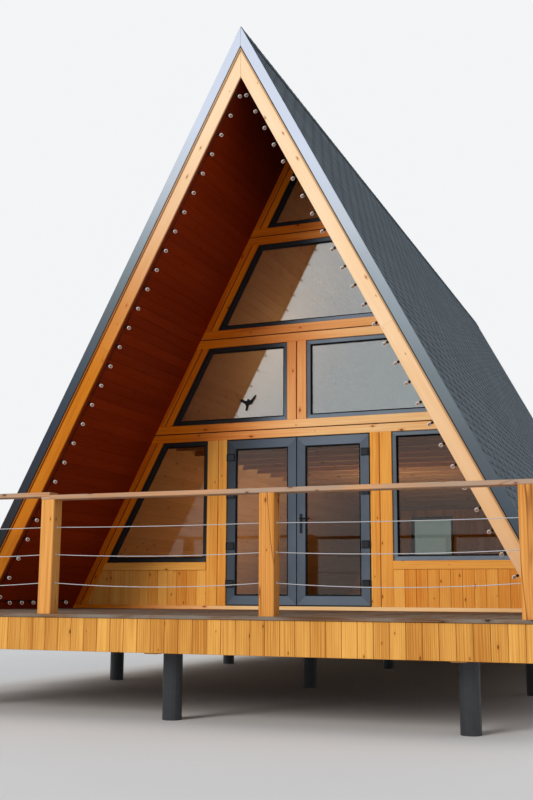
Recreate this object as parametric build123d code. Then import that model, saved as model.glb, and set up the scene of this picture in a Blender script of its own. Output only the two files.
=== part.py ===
from build123d import *
import os
from math import atan, ceil, cos, degrees, pi, radians, sin, tan

# An A-frame cabin on piles: two steep roof slopes down to the floor platform, a glazed front gable
# set back under the roof, and a railed deck in front of it.
# Millimetres. Z is up from the ground, Y runs from the deck to the back, X is 0 on the ridge line.

os.makedirs("parts", exist_ok=True)

# Roof: heights above the ground, and layers measured square to the slope
APEX_HEIGHT = 7690.0
HALF_APEX_ANGLE = 27.43
ROOF_LENGTH = 14850.0
COVERING = 18.0
ROOF_PANEL = 248.0
CEILING_BOARD = 22.0
METAL_TRIM_WIDTH = 111.0
METAL_SHEET = 3.0
TRIM_RETURN = 100.0
BARGE_THICKNESS = 40.0
BARGE_STRIP_WIDTH = 28.0
BARGE_RECESS = 15.0
RIDGE_CAP_WING = 150.0

# Platform and deck
DECK_TOP = 950.0
FLOOR_BOARD = 32.0
JOIST_DEPTH = 190.0
JOIST_WIDTH = 50.0
JOIST_SPACING = 600.0
BEARER_DEPTH = 120.0
BEARER_WIDTH = 120.0
BEARER_INSET = 420.0
PILE_RADIUS = 90.0
PILE_SIDES = 16
PILE_ROWS = 4
PILE_END_INSET = 500.0
DECK_REACH = 1940.0
DECK_SIDE_INSET = 68.2
DECK_NOSING = 14.0
DECK_BACK_GAP = 5.0
FASCIA_HEIGHT = 300.0
FASCIA_THICKNESS = 25.0

# Railing
POST_SIZE = 142.0
RAIL_HEIGHT = 1105.0
RAIL_THICKNESS = 42.0
RAIL_WIDTH = 150.0
RAIL_LAP = 28.0
LAP_END_PAST_POST = 20.0
CABLE_RADIUS = 3.5
CABLE_SIDES = 8
CABLE_HOLE_RADIUS = 8.0
CABLE_HEIGHTS = (283.0, 546.0, 803.0)
CABLE_SAGS = (36.0, 22.0, 8.0)

# Front gable, levels above the underside of the door frame
DOOR_STEP = 45.0
PORCH_DEPTH = 1925.0
GABLE_DEPTH = 160.0
RAKE_WIDTH = 162.0
DOOR_HEIGHT = 2105.0
DOOR_HALF_WIDTH = 954.0
DOOR_POST_WIDTH = 273.0
LOWER_BEAM = 218.0
MIDDLE_BEAM = 232.0
UPPER_BEAM = 217.0
PEAK_WINDOW_HEIGHT = 811.6
MID_WINDOW_SHARE = 0.4757
CENTRE_STUD_HALF = 129.0
LOW_WINDOW_SILL = 544.0
SILL_PLANK = 100.0
SILL_PLANK_NOSING = 12.0
GROOVE_WIDTH = 8.0
GROOVE_DEPTH = 9.0
RAKE_GROOVE_OFFSET = 75.0
DOOR_POST_GROOVE_OFFSET = 115.0

# Windows
FRAME_FACE = 77.0
FRAME_DEPTH = 80.0
FRAME_RECESS = 22.0
GLASS_THICKNESS = 24.0
FIT = 0.3

# Double door
DOOR_FRAME_FACE = 60.0
DOOR_FRAME_DEPTH = 80.0
LEAF_THICKNESS = 60.0
LEAF_FACE = 110.0
LEAF_TO_FRAME = 5.0
LEAF_SIDE_GAP = 14.0
MEETING_GAP = 10.0
HINGE_RADIUS = 8.0
HINGE_PIN_OUT = 7.0
HINGE_HALF_HEIGHT = 45.0
HINGE_PLATE_REACH = 42.0
HINGE_PLATE = 6.0
HINGE_LEVELS = (250.0, 720.0, 1370.0, 1850.0)
HINGE_BRACKET = 5.0
HINGE_BRACKET_LAP = 1.0
HANDLE_LEVEL = 1010.0
HANDLE_PLATE_WIDTH = 32.0
HANDLE_PLATE_HEIGHT = 235.0
HANDLE_PLATE_THICKNESS = 9.0
LEVER_REACH = 48.0
LEVER_LENGTH = 115.0
LEVER_RADIUS = 9.0

# Rear gable
REAR_OVERHANG = 600.0
REAR_WINDOW_WIDTH = 1000.0
REAR_WINDOW_SILL = 900.0
REAR_WINDOW_HEIGHT = 1100.0
REAR_WINDOW_OFFSET = 1050.0
REAR_LOFT_WINDOW_SILL = 250.0

# Upper floor
LOFT_BOARD = 32.0

# String lights, along both slopes of the porch ceiling
BULB_SPACING = 250.0
FIRST_BULB = 200.0
BULBS_ON_SLOPE = 27
BULBS_ALONG_BASE = 6
END_OF_BASE_RUN = 125.0
LIGHTS_BEHIND_VERGE = 100.0
CORD_RADIUS = 4.0
CORD_TURN = 60.0
BASE_RUN_HEIGHT = 100.0
HOLDER_RADIUS = 15.0
HOLDER_DEPTH = 36.0
BULB_RADIUS = 22.0
BULB_LENGTH = 46.0
BULB_OUTLINE = ((0.0, 0.55), (0.45, 1.0), (0.85, 0.7), (1.0, 0.25))
LIGHT_SIDES = 6

angle = radians(HALF_APEX_ANGLE)


def apex(inset):
    """Height at which the two planes parallel to the slopes, inset square to them, meet."""
    return APEX_HEIGHT - inset / sin(angle)


def half_width(z, inset):
    """Distance from the ridge line to the plane inset under a slope, at height z."""
    return (apex(inset) - z) * tan(angle)


# Places worked out from the sizes above
roof_thickness = COVERING + ROOF_PANEL + CEILING_BOARD
overall_length = DECK_REACH + ROOF_LENGTH
deck_front = -overall_length / 2
verge = deck_front + DECK_REACH
rear_verge = verge + ROOF_LENGTH
wall_front = verge + PORCH_DEPTH
wall_back = wall_front + GABLE_DEPTH
rear_wall_back = rear_verge - REAR_OVERHANG
rear_wall_front = rear_wall_back - GABLE_DEPTH
window_inset = roof_thickness + RAKE_WIDTH

deck_half_width = half_width(DECK_TOP, 0) - DECK_SIDE_INSET
platform_bottom = DECK_TOP - FLOOR_BOARD - JOIST_DEPTH - BEARER_DEPTH
joist_bottom = platform_bottom + BEARER_DEPTH
joist_top = joist_bottom + JOIST_DEPTH

door_bottom = DECK_TOP + DOOR_STEP
lower_beam_bottom = door_bottom + DOOR_HEIGHT
lower_beam_top = lower_beam_bottom + LOWER_BEAM
upper_beam_top = apex(window_inset) - PEAK_WINDOW_HEIGHT
upper_beam_bottom = upper_beam_top - UPPER_BEAM
window_heights = upper_beam_bottom - lower_beam_top - MIDDLE_BEAM
middle_beam_bottom = lower_beam_top + MID_WINDOW_SHARE * window_heights
middle_beam_top = middle_beam_bottom + MIDDLE_BEAM
low_sill = door_bottom + LOW_WINDOW_SILL
post_outer = DOOR_HALF_WIDTH + DOOR_POST_WIDTH


def prism(points, y, depth):
    """A solid whose outline is points in the X-Z plane, from y back by depth."""
    outline = Polyline(*[(px, y, pz) for px, pz in points], close=True)
    return extrude(make_face(outline), amount=depth, dir=(0, 1, 0))


def block(x0, x1, y0, y1, z0, z1):
    """A rectangular solid between two corners."""
    centre = Pos((x0 + x1) / 2, (y0 + y1) / 2, (z0 + z1) / 2)
    return centre * Box(x1 - x0, y1 - y0, z1 - z0)


def mirrored(points):
    """The same outline on the other side of the ridge line."""
    return [(-px, pz) for px, pz in points]


def full_outline(inset, z0, z1):
    """Outline between both slopes from z0 to z1, pointed if z1 is above where they meet."""
    lower = [(-half_width(z0, inset), z0), (half_width(z0, inset), z0)]
    if z1 >= apex(inset):
        return lower + [(0, apex(inset))]
    return lower + [(half_width(z1, inset), z1), (-half_width(z1, inset), z1)]


def side_outline(inset, z0, z1, x_inner):
    """Outline on the right, from x_inner out to the slope, from z0 to z1."""
    outer_low = (half_width(z0, inset), z0)
    outer_high = (half_width(z1, inset), z1)
    return [(x_inner, z0), outer_low, outer_high, (x_inner, z1)]


def slope_layer(inset0, inset1, z0):
    """Outline of a layer of the right slope between two insets, from z0 up to the ridge."""
    outer = [(half_width(z0, inset0), z0), (0, apex(inset0))]
    inner = [(0, apex(inset1)), (half_width(z0, inset1), z0)]
    return outer + inner


def rake_outline(inset0, inset1, z0, z1):
    """Outline of a board along the right slope between two levels, mitred if it meets the ridge."""
    if z1 >= apex(inset0):
        return slope_layer(inset0, inset1, z0)
    low = [(half_width(z0, inset1), z0), (half_width(z0, inset0), z0)]
    high = [(half_width(z1, inset0), z1), (half_width(z1, inset1), z1)]
    return low + high


def other_side(solids):
    """The same solids mirrored across the ridge line."""
    return [mirror(solid, about=Plane.YZ) for solid in solids]


def save(name, *solids):
    """Write the solids of one node to its own file."""
    shapes = []
    for item in solids:
        shapes.extend(item.solids())
    shape = shapes[0] if len(shapes) == 1 else Compound(children=shapes)
    export_step(shape, f"parts/{name}.step")


# Piles: rows under the house, and one row under the front of the deck
def make_piles():
    bearer_x = half_width(DECK_TOP, roof_thickness) - BEARER_INSET
    first_row = wall_front + PILE_END_INSET
    last_row = rear_wall_back - PILE_END_INSET
    row_step = (last_row - first_row) / (PILE_ROWS - 1)
    rows = [deck_front + PILE_END_INSET]
    rows += [first_row + row * row_step for row in range(PILE_ROWS)]
    pile = extrude(RegularPolygon(PILE_RADIUS, PILE_SIDES), amount=platform_bottom)
    save("piles", *[Pos(x, y) * pile for y in rows for x in (-bearer_x, 0, bearer_x)])


# Bearers run front to back on the piles, and joists run across on the bearers, each its own board
def joist_positions(y0, y1):
    """Front faces of joists at even spacing from y0 to y1, with one at each end."""
    span = y1 - y0 - JOIST_WIDTH
    count = ceil(span / JOIST_SPACING)
    return [y0 + span * i / count for i in range(count + 1)]


def bearers(y0, y1):
    bearer_x = half_width(DECK_TOP, roof_thickness) - BEARER_INSET
    rows = []
    for x in (-bearer_x, 0, bearer_x):
        x0 = x - BEARER_WIDTH / 2
        x1 = x + BEARER_WIDTH / 2
        rows.append(block(x0, x1, y0, y1, platform_bottom, joist_bottom))
    return rows


def make_platform():
    joist_outline = full_outline(roof_thickness, joist_bottom, joist_top)
    house = bearers(wall_front, rear_verge)
    for y in joist_positions(wall_front, rear_verge):
        house.append(prism(joist_outline, y, JOIST_WIDTH))
    save("floor_frame", *house)

    side = deck_half_width - DECK_NOSING - FASCIA_THICKNESS
    front = deck_front + DECK_NOSING + FASCIA_THICKNESS
    deck = bearers(front, wall_front)
    for y in joist_positions(front, verge - DECK_BACK_GAP):
        deck.append(block(-side, side, y, y + JOIST_WIDTH, joist_bottom, joist_top))
    for y in joist_positions(verge + BARGE_THICKNESS, wall_front):
        deck.append(prism(joist_outline, y, JOIST_WIDTH))
    save("deck_frame", *deck)

    floor_outline = full_outline(roof_thickness, joist_top, DECK_TOP)
    save("house_floor", prism(floor_outline, wall_front, rear_verge - wall_front))

    front_part = block(
        -deck_half_width, deck_half_width, deck_front, verge - DECK_BACK_GAP, joist_top, DECK_TOP
    )
    porch_start = verge - DECK_BACK_GAP
    porch_part = prism(floor_outline, porch_start, wall_front - porch_start)
    save("deck_boards", front_part + porch_part)


def make_fascia():
    x = deck_half_width - DECK_NOSING
    y = deck_front + DECK_NOSING
    z0 = joist_top - FASCIA_HEIGHT
    back = y + FASCIA_THICKNESS
    save("deck_fascia_front", block(-x, x, y, back, z0, joist_top))
    inner = x - FASCIA_THICKNESS
    y_end = verge - DECK_BACK_GAP
    left = block(-x, -inner, back, y_end, z0, joist_top)
    right = block(inner, x, back, y_end, z0, joist_top)
    save("deck_fascia_sides", left, right)


# Railing: posts on the deck, a flat handrail, three sagging cables through drilled posts
post_front = deck_front + DECK_NOSING
post_centre_y = post_front + POST_SIZE / 2
side_post_centre_y = verge - DECK_BACK_GAP - POST_SIZE / 2
corner_x = deck_half_width - DECK_NOSING - POST_SIZE / 2
post_spacing = 2 * corner_x / 3
inner_x = post_spacing / 2
rail_bottom = DECK_TOP + RAIL_HEIGHT - RAIL_THICKNESS


def rail_post(x, y, top):
    half = POST_SIZE / 2
    return block(x - half, x + half, y - half, y + half, DECK_TOP, top)


def make_posts():
    posts = []
    for x in (-inner_x, inner_x):
        post = rail_post(x, post_centre_y, rail_bottom)
        for level in CABLE_HEIGHTS:
            hole = Rot(0, 90, 0) * Cylinder(CABLE_HOLE_RADIUS, 2 * POST_SIZE)
            post -= Pos(x, post_centre_y, DECK_TOP + level) * hole
        posts.append(post)
    for y in (post_centre_y, side_post_centre_y):
        posts.append(rail_post(corner_x, y, rail_bottom))
        posts.append(rail_post(-corner_x, y, rail_bottom + RAIL_LAP))
    save("rail_posts", *posts)


def make_handrails():
    end_x = corner_x + RAIL_WIDTH / 2
    y0 = post_centre_y - RAIL_WIDTH / 2
    y1 = post_centre_y + RAIL_WIDTH / 2
    lap_x = -inner_x + LAP_END_PAST_POST
    rail_top = rail_bottom + RAIL_THICKNESS
    main = block(lap_x, end_x, y0, y1, rail_bottom, rail_top)
    tongue_start = -inner_x - POST_SIZE / 2
    main += block(tongue_start, lap_x, y0, y1, rail_bottom, rail_bottom + RAIL_LAP)
    save("handrail_front", main)
    save(
        "handrail_front_left",
        block(-end_x, lap_x, y0, y1, rail_bottom + RAIL_LAP, rail_top + RAIL_LAP),
    )
    inner = corner_x - RAIL_WIDTH / 2
    y_end = verge - DECK_BACK_GAP
    right = block(inner, end_x, y1, y_end, rail_bottom, rail_top)
    left = block(-end_x, -inner, y1, y_end, rail_bottom + RAIL_LAP, rail_top + RAIL_LAP)
    save("handrails_side", right, left)


def make_cables():
    half = POST_SIZE / 2
    chord = post_spacing - POST_SIZE
    end_x = corner_x - half
    between_corners = block(-end_x, end_x, deck_front, verge, DECK_TOP, rail_bottom)
    front = []
    for level, sag in zip(CABLE_HEIGHTS, CABLE_SAGS):
        z = DECK_TOP + level
        end_slope = 2 * atan(2 * sag / chord)
        crest = half * tan(end_slope / 2)
        path = []
        for bay in range(3):
            x0 = -corner_x + bay * post_spacing + half
            x1 = x0 + chord
            low = (x0 + chord / 2, post_centre_y, z - sag)
            path.append(ThreePointArc((x0, post_centre_y, z), low, (x1, post_centre_y, z)))
            if bay < 2:
                top = (x1 + half, post_centre_y, z + crest)
                end = (x1 + POST_SIZE, post_centre_y, z)
                path.append(ThreePointArc((x1, post_centre_y, z), top, end))
        start = Plane((-corner_x + half, post_centre_y, z), z_dir=path[0] % 0)
        cable = sweep(start * RegularPolygon(CABLE_RADIUS, CABLE_SIDES), path=Wire(path))
        front.append(cable & between_corners)
    save("cables_front", *front)

    y0 = post_centre_y + half
    y1 = side_post_centre_y - half
    sides = []
    for x in (-corner_x, corner_x):
        for level in CABLE_HEIGHTS:
            z = DECK_TOP + level
            start = Plane((x, y0, z), z_dir=(0, 1, 0))
            section = start * RegularPolygon(CABLE_RADIUS, CABLE_SIDES)
            sides.append(extrude(section, amount=y1 - y0))
    save("cables_side", *sides)


# Roof: covering, insulated panel and ceiling boards on each slope. At both verges a metal trim
# runs along a barge board, whose outer strip stands in front of it
def make_roof():
    y = verge + BARGE_THICKNESS
    length = ROOF_LENGTH - 2 * BARGE_THICKNESS
    layers = {
        "roof_covering": (0, COVERING),
        "roof_panel": (COVERING, COVERING + ROOF_PANEL),
        "ceiling_boards": (COVERING + ROOF_PANEL, roof_thickness),
    }
    for name, (inset0, inset1) in layers.items():
        outline = slope_layer(inset0, inset1, platform_bottom)
        save(f"{name}_right", prism(outline, y, length))
        save(f"{name}_left", prism(mirrored(outline), y, length))

    plate = slope_layer(0, METAL_TRIM_WIDTH, platform_bottom)
    flange = slope_layer(-METAL_SHEET, 0, platform_bottom)
    barge = slope_layer(METAL_TRIM_WIDTH, roof_thickness, platform_bottom)
    strip_inset = METAL_TRIM_WIDTH + BARGE_STRIP_WIDTH
    strip = slope_layer(METAL_TRIM_WIDTH, strip_inset, platform_bottom)
    board_thickness = BARGE_THICKNESS - BARGE_RECESS
    rear_barge_y = rear_verge - BARGE_THICKNESS
    rear_flange_y = rear_verge - TRIM_RETURN
    front_trim = [prism(plate, verge, BARGE_THICKNESS), prism(flange, verge, TRIM_RETURN)]
    rear_trim = [
        prism(plate, rear_barge_y, BARGE_THICKNESS),
        prism(flange, rear_flange_y, TRIM_RETURN),
    ]
    front_barge = [
        prism(barge, verge + BARGE_RECESS, board_thickness),
        prism(strip, verge, BARGE_RECESS),
    ]
    rear_barge = [
        prism(barge, rear_barge_y, board_thickness),
        prism(strip, rear_barge_y + board_thickness, BARGE_RECESS),
    ]
    save("verge_trim_front_right", *front_trim)
    save("verge_trim_front_left", *other_side(front_trim))
    save("verge_trim_rear", *rear_trim, *other_side(rear_trim))
    save("barge_board_front_right", *front_barge)
    save("barge_board_front_left", *other_side(front_barge))
    save("barge_board_rear", *rear_barge, *other_side(rear_barge))

    low = apex(0) - RIDGE_CAP_WING * cos(angle)
    right_wing = slope_layer(-METAL_SHEET, 0, low)
    cap_outline = [right_wing[1], right_wing[0], right_wing[3], right_wing[2]]
    cap_outline += [(-right_wing[3][0], low), (-right_wing[0][0], low)]
    cap_start = verge + TRIM_RETURN
    save("ridge_cap", prism(cap_outline, cap_start, ROOF_LENGTH - 2 * TRIM_RETURN))


# Front gable: storey-high timber frames, with beams of two planks that show a groove
def grooved_beam(z0, z1):
    beam = prism(full_outline(roof_thickness, z0, z1), wall_front, GABLE_DEPTH)
    middle = (z0 + z1) / 2
    reach = half_width(z0, roof_thickness)
    return beam - block(
        -reach,
        reach,
        wall_front,
        wall_front + GROOVE_DEPTH,
        middle - GROOVE_WIDTH / 2,
        middle + GROOVE_WIDTH / 2,
    )


def make_gable():
    sill = prism(full_outline(roof_thickness, DECK_TOP, door_bottom), wall_front, GABLE_DEPTH)
    save("gable_sill", sill)
    save("gable_beam_lower", grooved_beam(lower_beam_bottom, lower_beam_top))
    save("gable_beam_middle", grooved_beam(middle_beam_bottom, middle_beam_top))
    save("gable_beam_upper", grooved_beam(upper_beam_bottom, upper_beam_top))

    groove_start = roof_thickness + RAKE_GROOVE_OFFSET
    storeys = [
        (door_bottom, lower_beam_bottom),
        (lower_beam_top, middle_beam_bottom),
        (middle_beam_top, upper_beam_bottom),
        (upper_beam_top, apex(roof_thickness)),
    ]
    right_rakes = []
    for z0, z1 in storeys:
        board = prism(rake_outline(roof_thickness, window_inset, z0, z1), wall_front, GABLE_DEPTH)
        groove = rake_outline(groove_start, groove_start + GROOVE_WIDTH, z0, z1)
        board -= prism(groove, wall_front, GROOVE_DEPTH)
        right_rakes.append(board)
    save("gable_rake_right", *right_rakes)
    save("gable_rake_left", *other_side(right_rakes))

    stud = block(
        -CENTRE_STUD_HALF,
        CENTRE_STUD_HALF,
        wall_front,
        wall_back,
        lower_beam_top,
        middle_beam_bottom,
    )
    stud -= block(
        -GROOVE_WIDTH / 2,
        GROOVE_WIDTH / 2,
        wall_front,
        wall_front + GROOVE_DEPTH,
        lower_beam_top,
        middle_beam_bottom,
    )
    save("centre_stud", stud)

    post = block(
        DOOR_HALF_WIDTH, post_outer, wall_front, wall_back, door_bottom, lower_beam_bottom
    )
    groove_x = DOOR_HALF_WIDTH + DOOR_POST_GROOVE_OFFSET
    post -= block(
        groove_x,
        groove_x + GROOVE_WIDTH,
        wall_front,
        wall_front + GROOVE_DEPTH,
        door_bottom,
        lower_beam_bottom,
    )
    save("door_posts", post, mirror(post, about=Plane.YZ))

    plank_bottom = low_sill - SILL_PLANK
    apron = prism(
        side_outline(window_inset, door_bottom, plank_bottom, post_outer), wall_front, GABLE_DEPTH
    )
    plank = prism(
        side_outline(window_inset, plank_bottom, low_sill, post_outer),
        wall_front - SILL_PLANK_NOSING,
        GABLE_DEPTH + SILL_PLANK_NOSING,
    )
    right_apron = [apron, plank]
    save("window_aprons", *right_apron, *other_side(right_apron))


# Windows: each a closed frame with its own pane
frame_front = wall_front + FRAME_RECESS
pane_front = frame_front + (FRAME_DEPTH - GLASS_THICKNESS) / 2


def window(outline_at):
    """Frame and pane from a function that gives the outline drawn in by a distance."""
    frame = prism(outline_at(FIT), frame_front, FRAME_DEPTH)
    frame -= prism(outline_at(FRAME_FACE), frame_front, FRAME_DEPTH)
    pane = prism(outline_at(FRAME_FACE + FIT), pane_front, GLASS_THICKNESS)
    return frame, pane


def full_window(z0, z1):
    def outline_at(inward):
        top = min(z1 - inward, apex(window_inset + inward))
        return full_outline(window_inset + inward, z0 + inward, top)

    return window(outline_at)


def side_window(z0, z1, x_inner):
    def outline_at(inward):
        return side_outline(window_inset + inward, z0 + inward, z1 - inward, x_inner + inward)

    return window(outline_at)


def make_windows():
    peak_frame, peak_pane = full_window(upper_beam_top, APEX_HEIGHT)
    upper_frame, upper_pane = full_window(middle_beam_top, upper_beam_bottom)
    mid_frame, mid_pane = side_window(lower_beam_top, middle_beam_bottom, CENTRE_STUD_HALF)
    low_frame, low_pane = side_window(low_sill, lower_beam_bottom, post_outer)
    save("window_peak", peak_frame)
    save("window_upper", upper_frame)
    save("windows_mid", mid_frame, mirror(mid_frame, about=Plane.YZ))
    save("windows_low", low_frame, mirror(low_frame, about=Plane.YZ))
    panes = [peak_pane, upper_pane, mid_pane, low_pane]
    panes += [mirror(mid_pane, about=Plane.YZ), mirror(low_pane, about=Plane.YZ)]
    save("gable_glass", *panes)


# Double door: a fixed frame behind two outward-opening leaves
leaf_back = wall_front + LEAF_THICKNESS
frame_face_y = leaf_back + LEAF_TO_FRAME
leaf_outer = DOOR_HALF_WIDTH - LEAF_SIDE_GAP
leaf_inner = MEETING_GAP / 2
leaf_bottom = door_bottom + LEAF_SIDE_GAP
leaf_top = lower_beam_bottom - LEAF_SIDE_GAP
hinge_x = leaf_outer + HINGE_PIN_OUT
hinge_y = wall_front - HINGE_RADIUS


def make_door_frame():
    inner = DOOR_HALF_WIDTH - DOOR_FRAME_FACE
    y1 = frame_face_y + DOOR_FRAME_DEPTH
    frame = block(
        -DOOR_HALF_WIDTH, DOOR_HALF_WIDTH, frame_face_y, y1, door_bottom, lower_beam_bottom
    )
    frame -= block(
        -inner,
        inner,
        frame_face_y,
        y1,
        door_bottom + DOOR_FRAME_FACE,
        lower_beam_bottom - DOOR_FRAME_FACE,
    )
    save("door_frame", frame)

    brackets = []
    for level in HINGE_LEVELS:
        z = door_bottom + level
        half_height = HINGE_HALF_HEIGHT / 2
        knuckle = Pos(hinge_x, hinge_y, z) * Cylinder(HINGE_RADIUS, HINGE_HALF_HEIGHT)
        arm = block(
            hinge_x - HINGE_BRACKET_LAP,
            hinge_x - HINGE_BRACKET_LAP + HINGE_BRACKET,
            hinge_y,
            frame_face_y,
            z - half_height,
            z + half_height,
        )
        bracket = knuckle + arm
        brackets.append(bracket)
        brackets.append(mirror(bracket, about=Plane.YZ))
    save("door_hinge_brackets", *brackets)


def make_leaf():
    """The right leaf with its pane and hinge halves; the left one is its mirror image."""
    leaf = block(leaf_inner, leaf_outer, wall_front, leaf_back, leaf_bottom, leaf_top)
    x0 = leaf_inner + LEAF_FACE
    x1 = leaf_outer - LEAF_FACE
    z0 = leaf_bottom + LEAF_FACE
    z1 = leaf_top - LEAF_FACE
    leaf -= block(x0, x1, wall_front, leaf_back, z0, z1)
    pane_y = wall_front + (LEAF_THICKNESS - GLASS_THICKNESS) / 2
    pane = block(
        x0 + FIT, x1 - FIT, pane_y, pane_y + GLASS_THICKNESS, z0 + FIT, z1 - FIT
    )
    hinges = []
    for level in HINGE_LEVELS:
        z = door_bottom + level + HINGE_HALF_HEIGHT + FIT
        half_height = HINGE_HALF_HEIGHT / 2
        knuckle = Pos(hinge_x, hinge_y, z) * Cylinder(HINGE_RADIUS, HINGE_HALF_HEIGHT)
        plate = block(
            hinge_x - HINGE_PLATE_REACH,
            hinge_x,
            wall_front - HINGE_PLATE,
            wall_front,
            z - half_height,
            z + half_height,
        )
        hinges.append(knuckle + plate)
    return leaf, pane, hinges


def make_doors():
    leaf, pane, hinges = make_leaf()
    save("door_leaf_right", leaf)
    save("door_glass_right", pane)
    save("door_hinges_right", *hinges)
    save("door_leaf_left", mirror(leaf, about=Plane.YZ))
    save("door_glass_left", mirror(pane, about=Plane.YZ))
    save("door_hinges_left", *other_side(hinges))

    x = leaf_inner + LEAF_FACE / 2
    z = door_bottom + HANDLE_LEVEL
    plate = block(
        x - HANDLE_PLATE_WIDTH / 2,
        x + HANDLE_PLATE_WIDTH / 2,
        wall_front - HANDLE_PLATE_THICKNESS,
        wall_front,
        z - HANDLE_PLATE_HEIGHT / 2,
        z + HANDLE_PLATE_HEIGHT / 2,
    )
    lever_z = z + HANDLE_PLATE_HEIGHT / 4
    lever_y = wall_front - LEVER_REACH
    neck = Pos(x, wall_front - LEVER_REACH / 2, lever_z) * Rot(90, 0, 0)
    neck = neck * Cylinder(LEVER_RADIUS, LEVER_REACH)
    grip = Pos(x + LEVER_LENGTH / 2, lever_y, lever_z) * Rot(0, 90, 0)
    grip = grip * Cylinder(LEVER_RADIUS, LEVER_LENGTH + 2 * LEVER_RADIUS)
    save("door_handle", plate + neck + grip)


# Rear gable: boarded wall in two storeys with plain windows
def make_rear_gable():
    split = lower_beam_top
    lower = prism(full_outline(roof_thickness, DECK_TOP, split), rear_wall_front, GABLE_DEPTH)
    upper = prism(
        full_outline(roof_thickness, split, apex(roof_thickness)), rear_wall_front, GABLE_DEPTH
    )
    frames = []
    panes = []
    sill = DECK_TOP + REAR_WINDOW_SILL
    loft_sill = split + REAR_LOFT_WINDOW_SILL
    places = [(-REAR_WINDOW_OFFSET, sill), (REAR_WINDOW_OFFSET, sill), (0, loft_sill)]
    frame_y = rear_wall_back - FRAME_RECESS - FRAME_DEPTH
    pane_y = frame_y + (FRAME_DEPTH - GLASS_THICKNESS) / 2

    def window_block(x, z, inward, y, depth):
        half = REAR_WINDOW_WIDTH / 2 - inward
        return block(x - half, x + half, y, y + depth, z + inward, z + REAR_WINDOW_HEIGHT - inward)

    for x, z in places:
        hole = window_block(x, z, 0, rear_wall_front, GABLE_DEPTH)
        if z < split:
            lower -= hole
        else:
            upper -= hole
        frame = window_block(x, z, FIT, frame_y, FRAME_DEPTH)
        frame -= window_block(x, z, FRAME_FACE, frame_y, FRAME_DEPTH)
        frames.append(frame)
        panes.append(window_block(x, z, FRAME_FACE + FIT, pane_y, GLASS_THICKNESS))
    save("rear_wall_lower", lower)
    save("rear_wall_upper", upper)
    save("rear_windows", *frames)
    save("rear_glass", *panes)


# Upper floor: boards on joists, level with the lower beam
def make_loft():
    board_bottom = lower_beam_top - LOFT_BOARD
    depth = rear_wall_front - wall_back
    floor = [prism(full_outline(roof_thickness, board_bottom, lower_beam_top), wall_back, depth)]
    joist_outline = full_outline(roof_thickness, lower_beam_bottom, board_bottom)
    for y in joist_positions(wall_back, rear_wall_front):
        floor.append(prism(joist_outline, y, JOIST_WIDTH))
    save("loft_floor", *floor)


# String lights: a cord clipped to the porch ceiling behind the barge boards
ceiling_apex = apex(roof_thickness)
light_y = verge + LIGHTS_BEHIND_VERGE
cord_off = CORD_RADIUS + FIT


def on_ceiling(side, along, off):
    """Point beside the ceiling: along the slope from its apex, off it towards the inside."""
    x = side * (along * sin(angle) - off * cos(angle))
    z = ceiling_apex - along * cos(angle) - off * sin(angle)
    return x, z


def lamp_plane(side, along, y, off):
    """A plane parallel to the ceiling and off it, whose normal points inside."""
    x, z = on_ceiling(side, along, off)
    return Plane((x, y, z), x_dir=(0, 1, 0), z_dir=(-side * cos(angle), 0, -sin(angle)))


def bulb_shape():
    """A bulb of flat sides that stands on its neck, made of tapered lengths."""
    lengths = []
    for (start, radius), (end, end_radius) in zip(BULB_OUTLINE, BULB_OUTLINE[1:]):
        section = RegularPolygon(radius * BULB_RADIUS, LIGHT_SIDES)
        height = (end - start) * BULB_LENGTH
        narrowing = (radius - end_radius) * BULB_RADIUS * cos(pi / LIGHT_SIDES)
        taper = degrees(atan(narrowing / height))
        lengths.append(Pos(0, 0, start * BULB_LENGTH) * extrude(section, amount=height, taper=taper))
    return lengths[0] + lengths[1:]


def make_lights():
    base_along = (ceiling_apex - DECK_TOP - BASE_RUN_HEIGHT) / cos(angle)
    slope_run = [FIRST_BULB + BULB_SPACING * i for i in range(BULBS_ON_SLOPE)]
    holder = extrude(RegularPolygon(HOLDER_RADIUS, LIGHT_SIDES), amount=HOLDER_DEPTH)
    bulb = bulb_shape()
    bulbs = []
    strings = []
    for side in (-1, 1):
        top_x, top_z = on_ceiling(side, FIRST_BULB / 2, cord_off)
        low_x, low_z = on_ceiling(side, base_along, cord_off)
        places = [(along, light_y) for along in slope_run]
        if side < 0:
            run_y = light_y + BULB_SPACING * BULBS_ALONG_BASE + END_OF_BASE_RUN
            route = [(top_x, light_y, top_z), (low_x, light_y, low_z), (low_x, run_y, low_z)]
            path = FilletPolyline(*route, radius=CORD_TURN)
            for i in range(1, BULBS_ALONG_BASE + 1):
                places.append((base_along, light_y + BULB_SPACING * i))
        else:
            path = Line((top_x, light_y, top_z), (low_x, light_y, low_z))
        start = Plane((top_x, light_y, top_z), z_dir=path % 0)
        cord = sweep(start * RegularPolygon(CORD_RADIUS, LIGHT_SIDES), path=path)
        holders = []
        for along, y in places:
            if along <= base_along:
                holders.append(lamp_plane(side, along, y, FIT) * holder)
                bulbs.append(lamp_plane(side, along, y, FIT + HOLDER_DEPTH) * bulb)
        strings.append(cord + holders)
    save("string_lights", *strings)
    save("string_bulbs", *bulbs)


make_piles()
make_platform()
make_fascia()
make_posts()
make_handrails()
make_cables()
make_roof()
make_gable()
make_windows()
make_door_frame()
make_doors()
make_rear_gable()
make_loft()
make_lights()

print("length", round(overall_length), "ridge height", round(apex(-METAL_SHEET)))
print("roof width at the platform", round(2 * half_width(platform_bottom, 0)))
print("slope from level", round(degrees(atan(1 / tan(angle))), 1), "degrees")
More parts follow.
